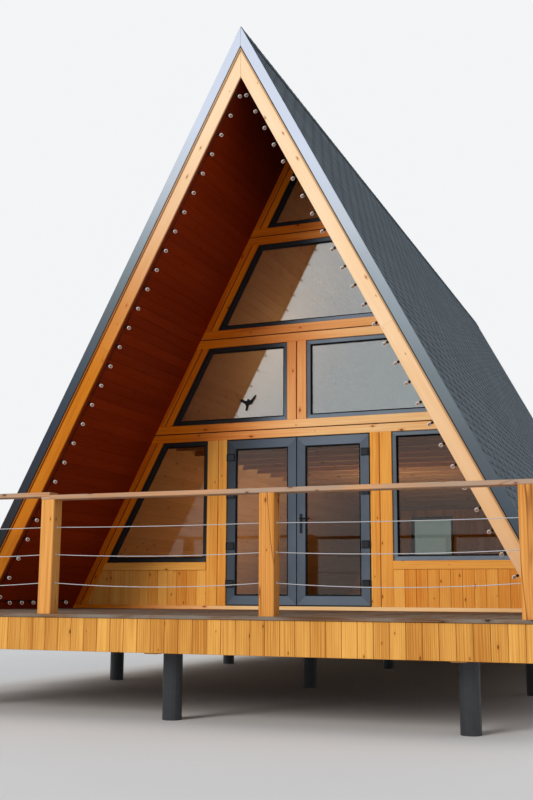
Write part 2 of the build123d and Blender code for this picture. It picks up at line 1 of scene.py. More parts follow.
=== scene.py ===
# %% [markdown]
# # Dressing an A-frame cabin
# The cabin's solids come packed and stay where they are. This lesson gives them what solids leave
# out: every shingle and board, mitred window frames, and finishes made of shader nodes.
# Everything is in metres: Z is up, the deck looks towards -Y, and the ridge runs along Y.

# %% Load the frame
import math
import random

import bmesh
import bpy
from mathutils import Matrix, Vector


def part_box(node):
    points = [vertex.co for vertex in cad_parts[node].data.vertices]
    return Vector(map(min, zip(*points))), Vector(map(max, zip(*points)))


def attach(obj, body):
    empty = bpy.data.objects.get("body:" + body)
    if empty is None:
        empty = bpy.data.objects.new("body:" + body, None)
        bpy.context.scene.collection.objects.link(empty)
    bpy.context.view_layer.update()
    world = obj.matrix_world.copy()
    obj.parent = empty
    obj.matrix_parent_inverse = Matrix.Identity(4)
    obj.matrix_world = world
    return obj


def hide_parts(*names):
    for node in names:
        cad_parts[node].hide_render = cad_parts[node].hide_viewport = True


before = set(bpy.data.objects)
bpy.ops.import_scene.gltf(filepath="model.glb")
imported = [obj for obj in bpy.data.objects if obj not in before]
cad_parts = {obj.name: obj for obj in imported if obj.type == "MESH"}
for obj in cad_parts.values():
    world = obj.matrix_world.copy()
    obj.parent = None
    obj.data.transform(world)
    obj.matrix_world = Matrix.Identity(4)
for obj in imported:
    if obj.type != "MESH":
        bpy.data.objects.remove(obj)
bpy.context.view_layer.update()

# %% [markdown]
# ## The shape of the roof
# Both slopes are planes that lean on each other, so one angle and one height describe them. Every
# other plane of the roof is the same slope drawn in by some distance. The sizes are read from the
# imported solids, so that the boards always fit them.

# %% Planes of the roof
roof_low, roof_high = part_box("roof_covering_right")
APEX, EAVE = roof_high.z, roof_low.z
LEAN = math.atan(roof_high.x / (APEX - EAVE))
SIN, COS, TAN = math.sin(LEAN), math.cos(LEAN), math.tan(LEAN)
slope_length = (APEX - EAVE) / COS

# How deep the layers lie, square to the slope
COVERING = 0.018
TRIM_WIDTH = 0.111
UNDER_PANEL = 0.266
INNER = 0.288
WINDOW_INSET = 0.450
FIT = 0.0003

verge, rear_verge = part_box("verge_trim_front_left")[0].y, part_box("verge_trim_rear")[1].y
WALL, REAR_WALL = ([corner.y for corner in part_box(node)] for node in ("gable_sill", "rear_wall_lower"))
wall_front, wall_back = WALL
rear_wall_front = REAR_WALL[0]
ALONG_X, ALONG_Y, ALONG_Z, FRONT = map(Vector, ((1, 0, 0), (0, 1, 0), (0, 0, 1), (0, -1, 0)))


def apex(inset):
    """Height where the two planes drawn in by inset meet."""
    return APEX - inset / SIN


def half_width(z, inset):
    """Distance from the ridge line to the plane drawn in by inset, at height z."""
    return (apex(inset) - z) * TAN


def on_slope(side, along, inset, y):
    """Point at a distance down the slope from the ridge, drawn in by inset."""
    return Vector((side * (along * SIN - inset * COS), y, APEX - along * COS - inset * SIN))


print("ridge", round(APEX, 3), "slope", round(slope_length, 3), "lean", round(math.degrees(LEAN), 2))

# %% [markdown]
# ## A recipe for shader nodes
# A finish is a small network of nodes, and most of the code would be the same few lines: add a
# node, set it, join it. These classes make those short, so that each finish reads as a recipe. The
# first one knows any tree of nodes, because the sky has one too. The second adds a surface.


# %% Colours
def colour(red, green, blue):
    """A colour as a screen shows it, 0 to 255, in the linear values that shaders use."""
    def one(value):
        share = value / 255
        return share / 12.92 if share <= 0.04045 else ((share + 0.055) / 1.055) ** 2.4
    return (one(red), one(green), one(blue), 1.0)


def toned(tint, factor, lift=0.0):
    return tuple(value * factor + lift for value in tint[:3]) + (1.0,)


# %% Nodes
class Nodes:
    """Short ways to add nodes to a tree and to join them."""

    def __init__(self, tree):
        self.nodes, self.links = tree.nodes, tree.links
        self.nodes.clear()

    def put(self, node, socket, value):
        """Join an output to a socket, or set the socket to a plain value."""
        if isinstance(value, bpy.types.NodeSocket):
            self.links.new(value, node.inputs[socket])
        else:
            node.inputs[socket].default_value = value

    def add(self, kind, sockets=(), **settings):
        node = self.nodes.new("ShaderNode" + kind)
        for name, value in settings.items():
            setattr(node, name, value)
        for socket, value in dict(sockets).items():
            self.put(node, socket, value)
        return node

    def take(self, kind, sockets=(), output=0, **settings):
        """Add a node and hand over one of its outputs."""
        return self.add(kind, sockets, **settings).outputs[output]

    def maths(self, operation, a, b=0.0, c=0.0):
        return self.take("Math", {0: a, 1: b, 2: c}, operation=operation)

    def times(self, a, b):
        return self.maths("MULTIPLY", a, b)

    def place(self):
        return self.take("TexCoord", output="Object")

    def stored(self, name, output="Fac"):
        """A value that the mesh keeps at each vertex."""
        return self.take("Attribute", output=output, attribute_name=name)

    def reach(self, direction):
        """How far a point of the model lies along a direction."""
        return self.take("VectorMath", {0: self.place(), 1: direction}, "Value",
                         operation="DOT_PRODUCT")

    def scaled(self, vector, scale):
        scale = scale if isinstance(scale, tuple) else (scale,) * 3
        return self.take("VectorMath", {0: vector, 1: scale}, operation="MULTIPLY")

    def noise(self, vector, scale, detail=2.0, roughness=0.5):
        sockets = {"Vector": self.scaled(vector, scale), "Scale": 1.0}
        return self.take("TexNoise", {**sockets, "Detail": detail, "Roughness": roughness})

    def remap(self, value, low, high, new_low=0.0, new_high=1.0):
        """A soft step: low and high become new_low and new_high."""
        return self.take("MapRange", enumerate((value, low, high, new_low, new_high)),
                         interpolation_type="SMOOTHSTEP", clamp=True)

    def mix(self, share, a, b):
        return self.take("Mix", {0: share, 6: a, 7: b}, 2, data_type="RGBA")

    def ramp(self, value, stops):
        node = self.add("ValToRGB", {"Fac": value})
        elements = node.color_ramp.elements
        while len(elements) < len(stops):
            elements.new(0.5)
        for element, (position, tint) in zip(elements, stops):
            element.position, element.color = position, tint
        return node.outputs[0]


# %% Recipe for a finish
class Recipe(Nodes):
    """The nodes of one finish."""

    def __init__(self, name, **constants):
        self.material = bpy.data.materials.new(name)
        self.material.use_nodes = True
        super().__init__(self.material.node_tree)
        self.shader = self.add("BsdfPrincipled")
        self.out = self.add("OutputMaterial", {"Surface": self.shader.outputs[0]})
        self.set(**constants)

    def set(self, **sockets):
        """Join or set sockets of the shader; an underscore stands for a space."""
        for socket, value in sockets.items():
            self.put(self.shader, socket.replace("_", " "), value)

    def bump(self, height, depth, strength=1.0):
        sockets = {"Height": height, "Distance": depth, "Strength": strength}
        self.set(Normal=self.take("Bump", sockets))


# %% [markdown]
# ## Light and camera
# A plain studio: an even sky, a pale floor, and one wide, low sun from the front left. A low sun
# reaches the gable, which stands two metres back under the roof, and leaves the side next to the
# left slope in shade. Its disc would burn out in the panes, so reflections pass it by. The sky is
# darker as a light than as a background, which Light Path tells apart.

# %% Sky
scene = bpy.context.scene
scene.view_settings.view_transform = "Standard"
BACKGROUND = (0.90, 0.91, 0.92, 1.0)
SKY_LIGHT = (0.50, 0.51, 0.53, 1.0)

scene.world = bpy.data.worlds.new("studio_sky")
scene.world.use_nodes = True
sky = Nodes(scene.world.node_tree)
ray = sky.add("LightPath").outputs
seen = sky.maths("MAXIMUM", ray["Is Camera Ray"], ray["Is Glossy Ray"])
seen = sky.maths("MAXIMUM", seen, ray["Is Transmission Ray"])
as_light, as_seen = (sky.take("Background", {"Color": tint}) for tint in (SKY_LIGHT, BACKGROUND))
sky_mix = sky.take("MixShader", {0: seen, 1: as_light, 2: as_seen})
sky.add("OutputWorld", {"Surface": sky_mix})


# %% Sun
def light(name, kind, power, tint, **settings):
    """A light that reflections and panes don't show."""
    data = bpy.data.lights.new(name, kind)
    data.energy, data.color = power, tint
    for setting, value in settings.items():
        setattr(data, setting, value)
    made = bpy.data.objects.new(name, data)
    made.visible_glossy = made.visible_transmission = False
    scene.collection.objects.link(made)
    return made


TOWARDS_SUN = Vector((-0.36, -0.86, 0.36))
sun = light("soft_sun", "SUN", 2.0, (1.0, 0.96, 0.90), angle=math.radians(24))
sun.rotation_euler = TOWARDS_SUN.to_track_quat("Z", "Y").to_euler()

# %% [markdown]
# Two warm lamps hang inside, out of sight, so that the panes show a room and not a black hole.
# Neither the camera nor a reflection nor a pane shows the lamps themselves, only their light.

# %% Room lamps
for name, place, power in (("lamp_upstairs", (0.0, -2.2, 4.3), 46.0),
                           ("lamp_downstairs", (0.1, -0.6, 1.9), 80.0)):
    lamp = light(name, "POINT", power, (1.0, 0.82, 0.62), shadow_soft_size=0.35)
    lamp.location = place
    lamp.visible_camera = False

# %% [markdown]
# The camera stands where the photographer stood: low, in front of the deck and to the right of its
# middle, and looking up a little. Blender's camera looks straight down at first, so three plain
# turns are put together: to the side about the upright, up to the level and a little more, and a
# slight tilt about its own line of sight.

# %% Camera
PHOTO_HEIGHT = 800
FOCAL_PIXELS = 1067.18
SENSOR = 36.0
STAND = (4.535, -17.054, 1.134)
yaw, pitch, roll = map(math.radians, (21.542, 10.339, 0.282))

camera_data = bpy.data.cameras.new("camera")
camera_data.sensor_fit = "VERTICAL"
camera_data.sensor_height = SENSOR
camera_data.lens = FOCAL_PIXELS / PHOTO_HEIGHT * SENSOR
camera_data.clip_end = 400
camera = bpy.data.objects.new("camera", camera_data)
scene.collection.objects.link(camera)
stand = Matrix.Translation(STAND)
for angle, axis in ((yaw, "Z"), (math.pi / 2 + pitch, "X"), (roll, "Z")):
    stand @= Matrix.Rotation(angle, 4, axis)
camera.matrix_world = stand
scene.camera = camera
print("lens", round(camera_data.lens, 2), "mm")

# %% [markdown]
# ## Timber
# Sawn softwood shows three things at different sizes: wavy growth rings, fine streaks along the
# fibre, and knots with a dark rim. A picture of wood would show its edges and repeat itself, so all
# three are patterns made by nodes. Each board of the model stores where a point lies along its own
# grain, and one network then serves boards that run in every direction.
#
# Knots are where branches were. A Voronoi pattern tells how far the nearest of its scattered points
# is. Each of them has a colour by lot, which sets the size of a knot there and leaves many without
# one. The pattern is flat and slants through the board, so that every face of it shows knots.


# %% Knots
def with_knots(recipe, place, base, rim_tint, core_tint, amount):
    """Lay knots with a dark rim over the colour of timber."""
    parts = recipe.add("SeparateXYZ", {0: place}).outputs
    sheared = recipe.maths("MULTIPLY_ADD", parts[2], 1.3, parts[1])
    flat = recipe.take("CombineXYZ", {0: recipe.times(parts[0], 3.0), 1: recipe.times(sheared, 5.0)})
    cells = recipe.add("TexVoronoi", {"Vector": flat, "Scale": 1.0}, voronoi_dimensions="2D").outputs
    luck = recipe.take("SeparateColor", {0: cells["Color"]})
    size = recipe.remap(luck, 0.35, 1.0, 0.0, 0.085 * amount)
    core = recipe.remap(cells["Distance"], recipe.times(size, 0.55), size, 0.85, 0.0)
    rim = recipe.remap(cells["Distance"], size, recipe.times(size, 2.6), 0.38, 0.0)
    visible = recipe.maths("GREATER_THAN", size, 0.012)
    for share, tint in ((rim, rim_tint), (core, core_tint)):
        base = recipe.mix(recipe.times(share, visible), base, tint)
    return base


# %% [markdown]
# Thick timber cracks along the grain as it dries. A noise that is stretched along the grain passes
# its middle value on long wandering lines. Keeping only the points close to that value draws thin
# cracks, and a second noise breaks them up, since no crack runs from end to end.


# %% Cracks
def crack_share(recipe, place, amount):
    """How much a point lies in one of the long thin cracks that follow the grain."""
    wander = recipe.noise(place, (0.45, 7.0, 7.0), detail=1.0)
    aside = recipe.maths("ABSOLUTE", recipe.maths("SUBTRACT", wander, 0.5))
    line = recipe.remap(aside, 0.0, 0.011, 1.0, 0.0)
    where = recipe.remap(recipe.noise(place, (0.7, 3.0, 3.0)), 0.42, 0.56)
    return recipe.times(recipe.times(line, where), amount)


# %% [markdown]
# The whole finish adds up the patterns to one tone and turns it into a colour. The rings are a
# wave texture round the board's length, and its distortion bends them into the arches of a sawn
# face. The shade value makes each board a little different. Painted light and shade can be laid
# on too: a second pair of colours takes over along one direction, between two distances.


# %% Timber finish
def timber(name, pale, deep, knot, roughness=0.62, knots=1.0, contrast=1.0, grain=None,
           painted_light_and_shade=None, grey=None, cracks=0.0):
    """A timber finish; painted_light_and_shade is (pale, deep, direction, low, high), low and high in
    metres, for painted light and shade.
    """
    recipe = Recipe(name, Roughness=roughness, Specular_IOR_Level=0.12)
    pale, deep, knot = colour(*pale), colour(*deep), colour(*knot)
    if grain is None:
        place, shade = recipe.stored("grain", "Vector"), recipe.stored("shade")
    else:
        axes = recipe.add("SeparateXYZ", {0: recipe.place()}).outputs
        place = recipe.take("CombineXYZ", {i: axes["XYZ".index(axis)] for i, axis in enumerate(grain)})
        shade = recipe.noise(place, (0.02, 1.7, 1.7), detail=0.0)
    rings = recipe.take(
        "TexWave", {"Vector": recipe.scaled(place, (0.12, 1.0, 1.0)), "Scale": 20.0,
                    "Distortion": 5.0, "Detail": 2.0, "Detail Scale": 0.45, "Detail Roughness": 0.5},
        "Fac", wave_type="RINGS", rings_direction="X", wave_profile="SIN")
    streaks = recipe.noise(place, (1.6, 55.0, 55.0), detail=3.0, roughness=0.6)
    patches = recipe.noise(place, (0.8, 5.0, 5.0), detail=1.0)
    tone = 0.5
    for value, share in ((rings, 0.34), (streaks, 1.1), (patches, 0.9), (shade, 0.55)):
        centred = recipe.maths("SUBTRACT", value, 0.5)
        tone = recipe.maths("MULTIPLY_ADD", centred, share * contrast, tone)
    base = recipe.ramp(tone, [(0.0, deep), (1.0, pale)])
    # A second pair of colours along a direction: painted light and shade.
    if painted_light_and_shade:
        painted_pale, painted_deep, direction, low, high = painted_light_and_shade
        reach = recipe.maths("MULTIPLY_ADD", patches, 0.4, recipe.reach(direction))
        painted_tones = recipe.ramp(tone, [(0.0, colour(*painted_deep)), (1.0, colour(*painted_pale))])
        base = recipe.mix(recipe.remap(reach, low, high), base, painted_tones)
    if grey:
        worn = recipe.remap(recipe.noise(place, (2.2, 9.0, 9.0), detail=4.0), 0.38, 0.66)
        base = recipe.mix(worn, base, colour(*grey))
    base = with_knots(recipe, place, base, deep, knot, knots)
    height = recipe.maths("MULTIPLY_ADD", streaks, 0.6, recipe.times(rings, 0.4))
    if cracks:
        crack = crack_share(recipe, place, cracks)
        base = recipe.mix(crack, base, knot)
        height = recipe.maths("SUBTRACT", height, recipe.times(crack, 3.0))
    recipe.set(Base_Color=base)
    recipe.bump(height, 0.0012)
    return recipe.material


# The gable stain is painted deep red next to the left slope, painted shade, and pale towards the light.
INTO_THE_LIGHT = (COS, 0.0, -SIN)
left_ceiling = -SIN * apex(INNER)
gable_finish = timber(
    "gable_stain_painted_light_and_shade", (252, 142, 10), (206, 90, 3), (92, 34, 4), contrast=0.9,
    painted_light_and_shade=((253, 216, 160), (238, 174, 108), INTO_THE_LIGHT, left_ceiling + 0.4, left_ceiling + 2.8))
print("first finish:", gable_finish.name, len(gable_finish.node_tree.nodes), "nodes")

# %% [markdown]
# ## Boards
# Nearly all of the cabin is boards, so they get one tool. A board is a row of rings of points that
# are joined into a closed skin. Planing the long edges off by a few millimetres makes them catch
# the light, and two boards side by side then show a real joint. A bevel modifier would do it too,
# but rings of points also serve mitres, wedges and round shapes. Many boards share one mesh, which
# keeps the scene light, and each vertex stores its place along the grain and its board's shade.


# %% Board builder
def settle(name, mesh, material, body, replaced=()):
    """Make a piece from a mesh; it rides on a body and may stand for CAD nodes."""
    mesh.materials.clear()
    mesh.materials.append(material)
    piece = bpy.data.objects.new(name, mesh)
    scene.collection.objects.link(piece)
    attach(piece, body)
    if replaced:
        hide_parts(*replaced)
    print(name, sum(len(face.vertices) - 2 for face in mesh.polygons), "triangles")


class Boards:
    """Boards of one kind, gathered in one mesh."""

    def __init__(self, name, seed):
        self.name, self.luck = name, random.Random(seed)
        self.points, self.faces, self.grain, self.shade = [], [], [], []

    def add(self, rings, along, across=FRONT, shade=None):
        """Join rings of points one after another, and close both ends.

        shade is one value for the board or one for each ring, and is drawn by lot if left out.
        """
        start, count, luck = len(self.points), len(rings[0]), self.luck
        points = [point for ring in rings for point in ring]
        middle = sum(points, Vector()) / len(points)
        shift = Vector((luck.uniform(0, 60), luck.uniform(-0.12, 0.12), luck.uniform(-0.15, 0.15)))
        if not isinstance(shade, list):
            shade = [luck.random() if shade is None else shade] * len(rings)
        self.points += points
        self.shade += [tone for tone in shade for _ in range(count)]
        third = along.cross(across)
        for point in points:
            local = point - middle
            self.grain.append(Vector((point.dot(along), local.dot(across), local.dot(third))) + shift)
        last = len(self.points) - count
        for a in range(start, last, count):
            b = a + count
            for k in range(count):
                m = (k + 1) % count
                self.faces.append((a + k, a + m, b + m, b + k))
        self.faces.append(tuple(range(start + count - 1, start - 1, -1)))
        self.faces.append(tuple(range(last, last + count)))

    def finish(self, material, slot, *replaced, body="cabin", smooth=False):
        """Make the mesh, with its normals outwards, and the piece."""
        mesh = bpy.data.meshes.new(self.name)
        mesh.from_pydata(self.points, [], self.faces)
        grain = mesh.attributes.new("grain", "FLOAT_VECTOR", "POINT")
        grain.data.foreach_set("vector", [value for vector in self.grain for value in vector])
        mesh.attributes.new("shade", "FLOAT", "POINT").data.foreach_set("value", self.shade)
        shell = bmesh.new()
        shell.from_mesh(mesh)
        bmesh.ops.recalc_face_normals(shell, faces=shell.faces)
        for face in shell.faces:
            face.smooth = smooth
        shell.to_mesh(mesh)
        shell.free()
        settle(self.name, mesh, material, body, replaced)


# %% Planed boards
def planed(width, depth, edge):
    """End outline of a board, width by depth, with its four long edges planed off."""
    return [(edge, 0), (width - edge, 0), (width, edge), (width, depth - edge),
            (width - edge, depth), (edge, depth), (0, depth - edge), (0, edge)]


def straight_board(boards, corner, length, width, depth, edge=0.003, shade=None):
    """A square-cut board: length, width and depth are vectors from one corner."""
    wide, deep = width.normalized(), depth.normalized()
    start = [corner + wide * a + deep * b for a, b in planed(width.length, depth.length, edge)]
    boards.add([start, [point + length for point in start]], length.normalized(), deep, shade)


# %% [markdown]
# Other boards are cut to an outline in X and Z. Such an outline can be drawn in by a distance, or
# clipped by a line, and a ring of points is the outline at some depth.


# %% Outlines
def ring_at(outline, y):
    return [Vector((x, y, z)) for x, z in outline]


def rectangle(x0, x1, z0, z1):
    return [(x0, z0), (x1, z0), (x1, z1), (x0, z1)]


def mirrored(outline, side):
    return [(side * x, z) for x, z in outline]


def span(outline, axis=0):
    """Lowest and highest X of an outline, or Z with axis 1."""
    values = [corner[axis] for corner in outline]
    return min(values), max(values)


def drawn_in(outline, distance):
    """A convex outline with every edge moved inwards by the same distance."""
    corners = [Vector(corner) for corner in outline]
    area = sum(before.cross(here) for before, here in zip(corners[-1:] + corners, corners))
    distance = math.copysign(distance, area)
    result = []
    for before, here, after in zip(corners[-1:] + corners, corners, corners[1:] + corners[:1]):
        first, second = (here - before).normalized(), (after - here).normalized()
        n1, n2 = (Vector((-way.y, way.x)) * distance for way in (first, second))
        turning = first.cross(second)
        along = (n2 - n1).cross(second) / turning if abs(turning) > 1e-6 else 0.0
        result.append(tuple(here + n1 + first * along))
    return result


def clipped(outline, keep):
    """The part of a convex outline where keep(x, z), a linear test, isn't negative."""
    result = []
    for before, point in zip(outline[-1:] + outline, outline):
        a, b = keep(*before), keep(*point)
        if (a < 0) != (b < 0):
            share = a / (a - b)
            result.append(tuple(p + (q - p) * share for p, q in zip(before, point)))
        if b >= 0:
            result.append(point)
    return result


def between(outline, x0, x1):
    """The part of an outline between two upright lines."""
    return clipped(clipped(outline, lambda x, z: x - x0), lambda x, z: x1 - x)


def upright_board(boards, outline, y_front, y_back, along=ALONG_Z, edge=0.003, shade=None):
    """A board whose face is an outline, with the edges of both faces planed off."""
    small = drawn_in(outline, edge)
    steps = ((small, y_front), (outline, y_front + edge), (outline, y_back - edge), (small, y_back))
    boards.add([ring_at(loop, y) for loop, y in steps], along, FRONT, shade)


# %% [markdown]
# ## The front gable
# Each storey of the gable is its own timber frame, and every member but the sill shows two planks
# side by side. One thick board with a painted line would look flat, so each plank is its own board
# with planed edges and a narrow gap, and a black sealing strip lies deep in the gap. The planks are
# cut to the slopes where they meet the ceiling.


# %% Levels of the gable
def levels(node):
    return [corner.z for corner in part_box(node)]


sill_bottom, door_bottom = levels("gable_sill")
beams = [levels("gable_beam_" + storey) for storey in ("lower", "middle", "upper")]
(lower_bottom, lower_top), (middle_bottom, middle_top), (upper_bottom, upper_top) = beams
door_half, post_outer, stud_half = (
    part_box(node)[1].x for node in ("door_frame", "door_posts", "centre_stud"))
low_sill = levels("window_aprons")[1]
PLANK_GAP = 0.012
PLANK_EDGE = 0.005
GROOVE_DEPTH = 0.016
RAKE_JOINT = 0.367
print("storeys at", [round(z, 3) for z in (door_bottom, lower_top, middle_top, upper_top)])


# %% Beams, rakes, stud and sill
def between_slopes(inset, z0, z1):
    """Outline from z0 to z1 between both slopes, pointed if they meet first."""
    low, high = half_width(z0, inset), half_width(z1, inset)
    foot = [(-low, z0), (low, z0)]
    return foot + ([(0, apex(inset))] if z1 >= apex(inset) else [(high, z1), (-high, z1)])


def rake_outline(side, inset0, inset1, z0, z1):
    """Outline of a board along one slope; its upper end is mitred if it reaches the ridge."""
    if z1 >= apex(inset0):
        top = [(0, apex(inset0)), (0, apex(inset1))]
    else:
        top = [(half_width(z1, inset0), z1), (half_width(z1, inset1), z1)]
    return mirrored([(half_width(z0, inset1), z0), (half_width(z0, inset0), z0)] + top, side)


groove_seals = Boards("gable_groove_seals", seed=4)


def two_planks(boards, outline_from, low, joint, high, along, gap=PLANK_GAP, tones=(None, None)):
    """Two planks with a sealed gap at the joint; outline_from(a, b) gives an outline."""
    before, after = joint - gap / 2, joint + gap / 2
    for a, b, tone in ((low, before, tones[0]), (after, high, tones[1])):
        upright_board(boards, outline_from(a, b), *WALL, along, PLANK_EDGE, tone)
    seal = outline_from(before, after)
    depths = (wall_front + GROOVE_DEPTH, wall_back - GROOVE_DEPTH)
    groove_seals.add([ring_at(seal, y) for y in depths], along)


gable = Boards("gable_timbers", seed=3)
for z0, z1 in beams:
    two_planks(gable, lambda a, b: between_slopes(INNER, a, b), z0, (z0 + z1) / 2, z1, ALONG_X)
# The outer plank of each rake, next to the ceiling, gets a dark tone: painted shade.
for side in (-1, 1):
    for z0, z1 in ((door_bottom, lower_bottom), (lower_top, middle_bottom),
                   (middle_top, upper_bottom), (upper_top, apex(INNER))):
        two_planks(gable, lambda a, b: rake_outline(side, a, b, z0, z1), INNER, RAKE_JOINT,
                   WINDOW_INSET, Vector((-side * SIN, 0, COS)), tones=(0.15, 0.75))
two_planks(gable, lambda a, b: rectangle(a, b, lower_top, middle_bottom), -stud_half, 0, stud_half,
           ALONG_Z)
upright_board(gable, between_slopes(INNER, sill_bottom, door_bottom), *WALL, ALONG_X)
gable.finish(gable_finish, "gable_timber", "gable_beam_lower", "gable_beam_middle",
             "gable_beam_upper", "gable_rake_left", "gable_rake_right", "centre_stud", "gable_sill")

# %% [markdown]
# ## Upright cladding
# Below the low windows, round the deck and on the rear wall the cabin is clad with upright boards,
# one every 137 mm. A region is cut into strips at that pitch, less a narrow joint, and each strip
# is clipped to the slope, as a carpenter would scribe the last boards. Under the windows the strips
# start at the door post, so that the narrow one is out at the slope, and a level plank lies along
# their tops. The two planks beside the door keep the same fresh stain.

# %% Boards under the low windows
BOARD_PITCH = 0.137
BOARD_JOINT = 0.003
BOARD_EDGE = 0.0035
SILL_BOARD = 0.100
apron_top = low_sill - SILL_BOARD


def strips(outline, first_edge):
    """Clip an outline into upright strips that start at first_edge."""
    low, high = span(outline)
    x = first_edge + math.floor((low - first_edge) / BOARD_PITCH + 1e-6) * BOARD_PITCH
    while x < high - 0.004:
        part = between(outline, x + BOARD_JOINT / 2, x + BOARD_PITCH - BOARD_JOINT / 2)
        if len(part) >= 3 and span(part)[1] - span(part)[0] > 0.008:
            yield part
        x += BOARD_PITCH


def beside_slope(z0, z1, inner):
    """Outline between an upright line and the windows' edge along the right slope."""
    return [(inner, z0), (half_width(z0, WINDOW_INSET), z0), (half_width(z1, WINDOW_INSET), z1),
            (inner, z1)]


cladding_finish = timber("cladding_stain", (252, 186, 92), (222, 136, 50), (120, 60, 18), knots=0.8)
aprons = Boards("apron_boards", seed=5)
plank_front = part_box("window_aprons")[0].y
for side in (-1, 1):
    for strip in strips(beside_slope(door_bottom, apron_top, post_outer), post_outer):
        upright_board(aprons, mirrored(strip, side), *WALL, ALONG_Z, BOARD_EDGE)
    plank = mirrored(beside_slope(apron_top, low_sill, post_outer), side)
    upright_board(aprons, plank, plank_front, wall_back, ALONG_X, 0.004, 0.85)
aprons.finish(cladding_finish, "cladding_timber", "window_aprons")

# %% Planks beside the door
DOOR_PLANK = 0.119
DOOR_GAP = 0.007
door_posts = Boards("door_post_planks", seed=6)
for side in (-1, 1):
    two_planks(door_posts, lambda a, b: rectangle(side * a, side * b, door_bottom, lower_bottom),
               door_half, door_half + DOOR_PLANK, post_outer, ALONG_Z, DOOR_GAP, (0.45, 0.6))
door_posts.finish(cladding_finish, "gable_timber", "door_posts")

# %% [markdown]
# ## Window frames
# The windows have dark foil-covered frames with mitred corners. Out in the light the foil is
# painted slate, a painted sheen of the sky, and next to the left slope it is painted nearly black,
# as painted shade. So the finish changes from one tint to the other along a direction.


# %% Foil finish
def foil(name, tint, roughness=0.38, painted_sheen=None):
    """Satin foil with a faint embossed grain; painted_sheen is (tint, direction, low, high) in metres,
    for painted light.
    """
    recipe = Recipe(name, Roughness=roughness, Specular_IOR_Level=0.3)
    tint = colour(*tint)
    dust = recipe.noise(recipe.place(), (2.0, 2.0, 1.2), detail=3.0)
    tone = recipe.maths("MULTIPLY_ADD", recipe.stored("shade"), 0.55, dust)
    base = recipe.ramp(tone, [(0.35, toned(tint, 0.72)), (1.0, toned(tint, 1.3, 0.002))])
    if painted_sheen:
        pale, direction, low, high = painted_sheen
        pale = colour(*pale)
        pale = recipe.ramp(tone, [(0.35, toned(pale, 0.7)), (1.0, toned(pale, 1.3))])
        base = recipe.mix(recipe.remap(recipe.reach(direction), low, high), base, pale)
    recipe.set(Base_Color=base)
    recipe.bump(recipe.noise(recipe.place(), 90.0), 0.0002, 0.4)
    return recipe.material


TO_THE_LIT_SIDE = (1.0, 0.0, -0.35)
# The window foil is painted slate towards the lit side and nearly black in the shade: painted light.
window_foil_painted_light = foil("window_foil_painted_light", (22, 24, 26), painted_sheen=((104, 117, 130), TO_THE_LIT_SIDE, -2.0, -1.2))
rubber = foil("seal_rubber", (16, 16, 18), roughness=0.7)

# %% [markdown]
# A frame is one outline repeated at several distances inwards: each point of the section is a loop,
# drawn in from the outline. That gives the rounded outer edge, the flat face, the black glazing
# bead and the rebate with true mitres, on triangles as well as on rectangles, which bars cut at a
# fixed angle would not. Each side is a bar of its own, and level bars are painted a tone lighter
# than upright ones, a painted highlight, so the mitres show as they do where two profiles are welded.


# %% Mitred bars
class Frames(Boards):
    """Mitred frames of one kind, gathered in one mesh."""

    def mitred(self, outline, section):
        """A bar along each side of a convex outline; the section is (distance inwards, y)."""
        loops = [ring_at(drawn_in(outline, inward), y) for inward, y in section]
        for k in range(len(outline)):
            start, end = ([loop[m] for loop in loops] for m in (k, (k + 1) % len(outline)))
            along = (end[0] - start[0]).normalized()
            # Level bars get a lighter tone: a painted highlight.
            level = 0.6 if abs(along.x) > 0.9 else 0.0
            self.add([start, end], along, FRONT, self.luck.uniform(0.0, 0.3) + level)


# %% Sections of frame and bead
FRAME_FACE = 0.063
FRAME_DEPTH = 0.080
FRAME_RECESS = 0.022
GLASS_HALF = 0.012
BEAD = 0.011


def window_section(front, depth, face):
    """Section of a frame: rounded outer edge, face, and the rebate that holds pane and bead."""
    back, lip = front + depth, face - BEAD
    return [
        (FIT, front + 0.004), (0.0015, front + 0.001), (0.005, front),
        (lip - 0.004, front), (lip - 0.001, front + 0.001), (lip, front + 0.004),
        (lip, front + 0.012), (face - 0.004, front + 0.015), (face - 0.004, back - 0.014),
        (face - 0.018, back - 0.005), (face - 0.022, back), (0.005, back), (FIT, back - 0.004)]


def bead_section(front, depth, face):
    """Section of the black bead, which slopes to the pane and lips over its edge."""
    pane_front, pane_back = front + depth / 2 - GLASS_HALF, front + depth / 2 + GLASS_HALF + 0.001
    outer, inner = face - BEAD + 0.0004, face - 0.0036
    return [
        (outer, front + 0.0050), (face - 0.004, front + 0.0105), (face, pane_front - 0.0080),
        (face + 0.005, pane_front - 0.0040), (face + 0.007, pane_front - 0.0004),
        (face, pane_front - 0.0004), (face, pane_back), (inner, pane_back),
        (inner, front + 0.0146), (outer, front + 0.0116)]


def framed(bars_name, beads_name, seed, outlines, profile, finish, slot, *replaced, body="cabin"):
    """Frames and beads round the outlines; a profile is the front's y, the depth and the face."""
    bars, beads = Frames(bars_name, seed), Frames(beads_name, seed + 1)
    for outline in outlines:
        bars.mitred(outline, window_section(*profile))
        beads.mitred(outline, bead_section(*profile))
    bars.finish(finish, slot, *replaced, body=body)
    beads.finish(rubber, slot, body=body)


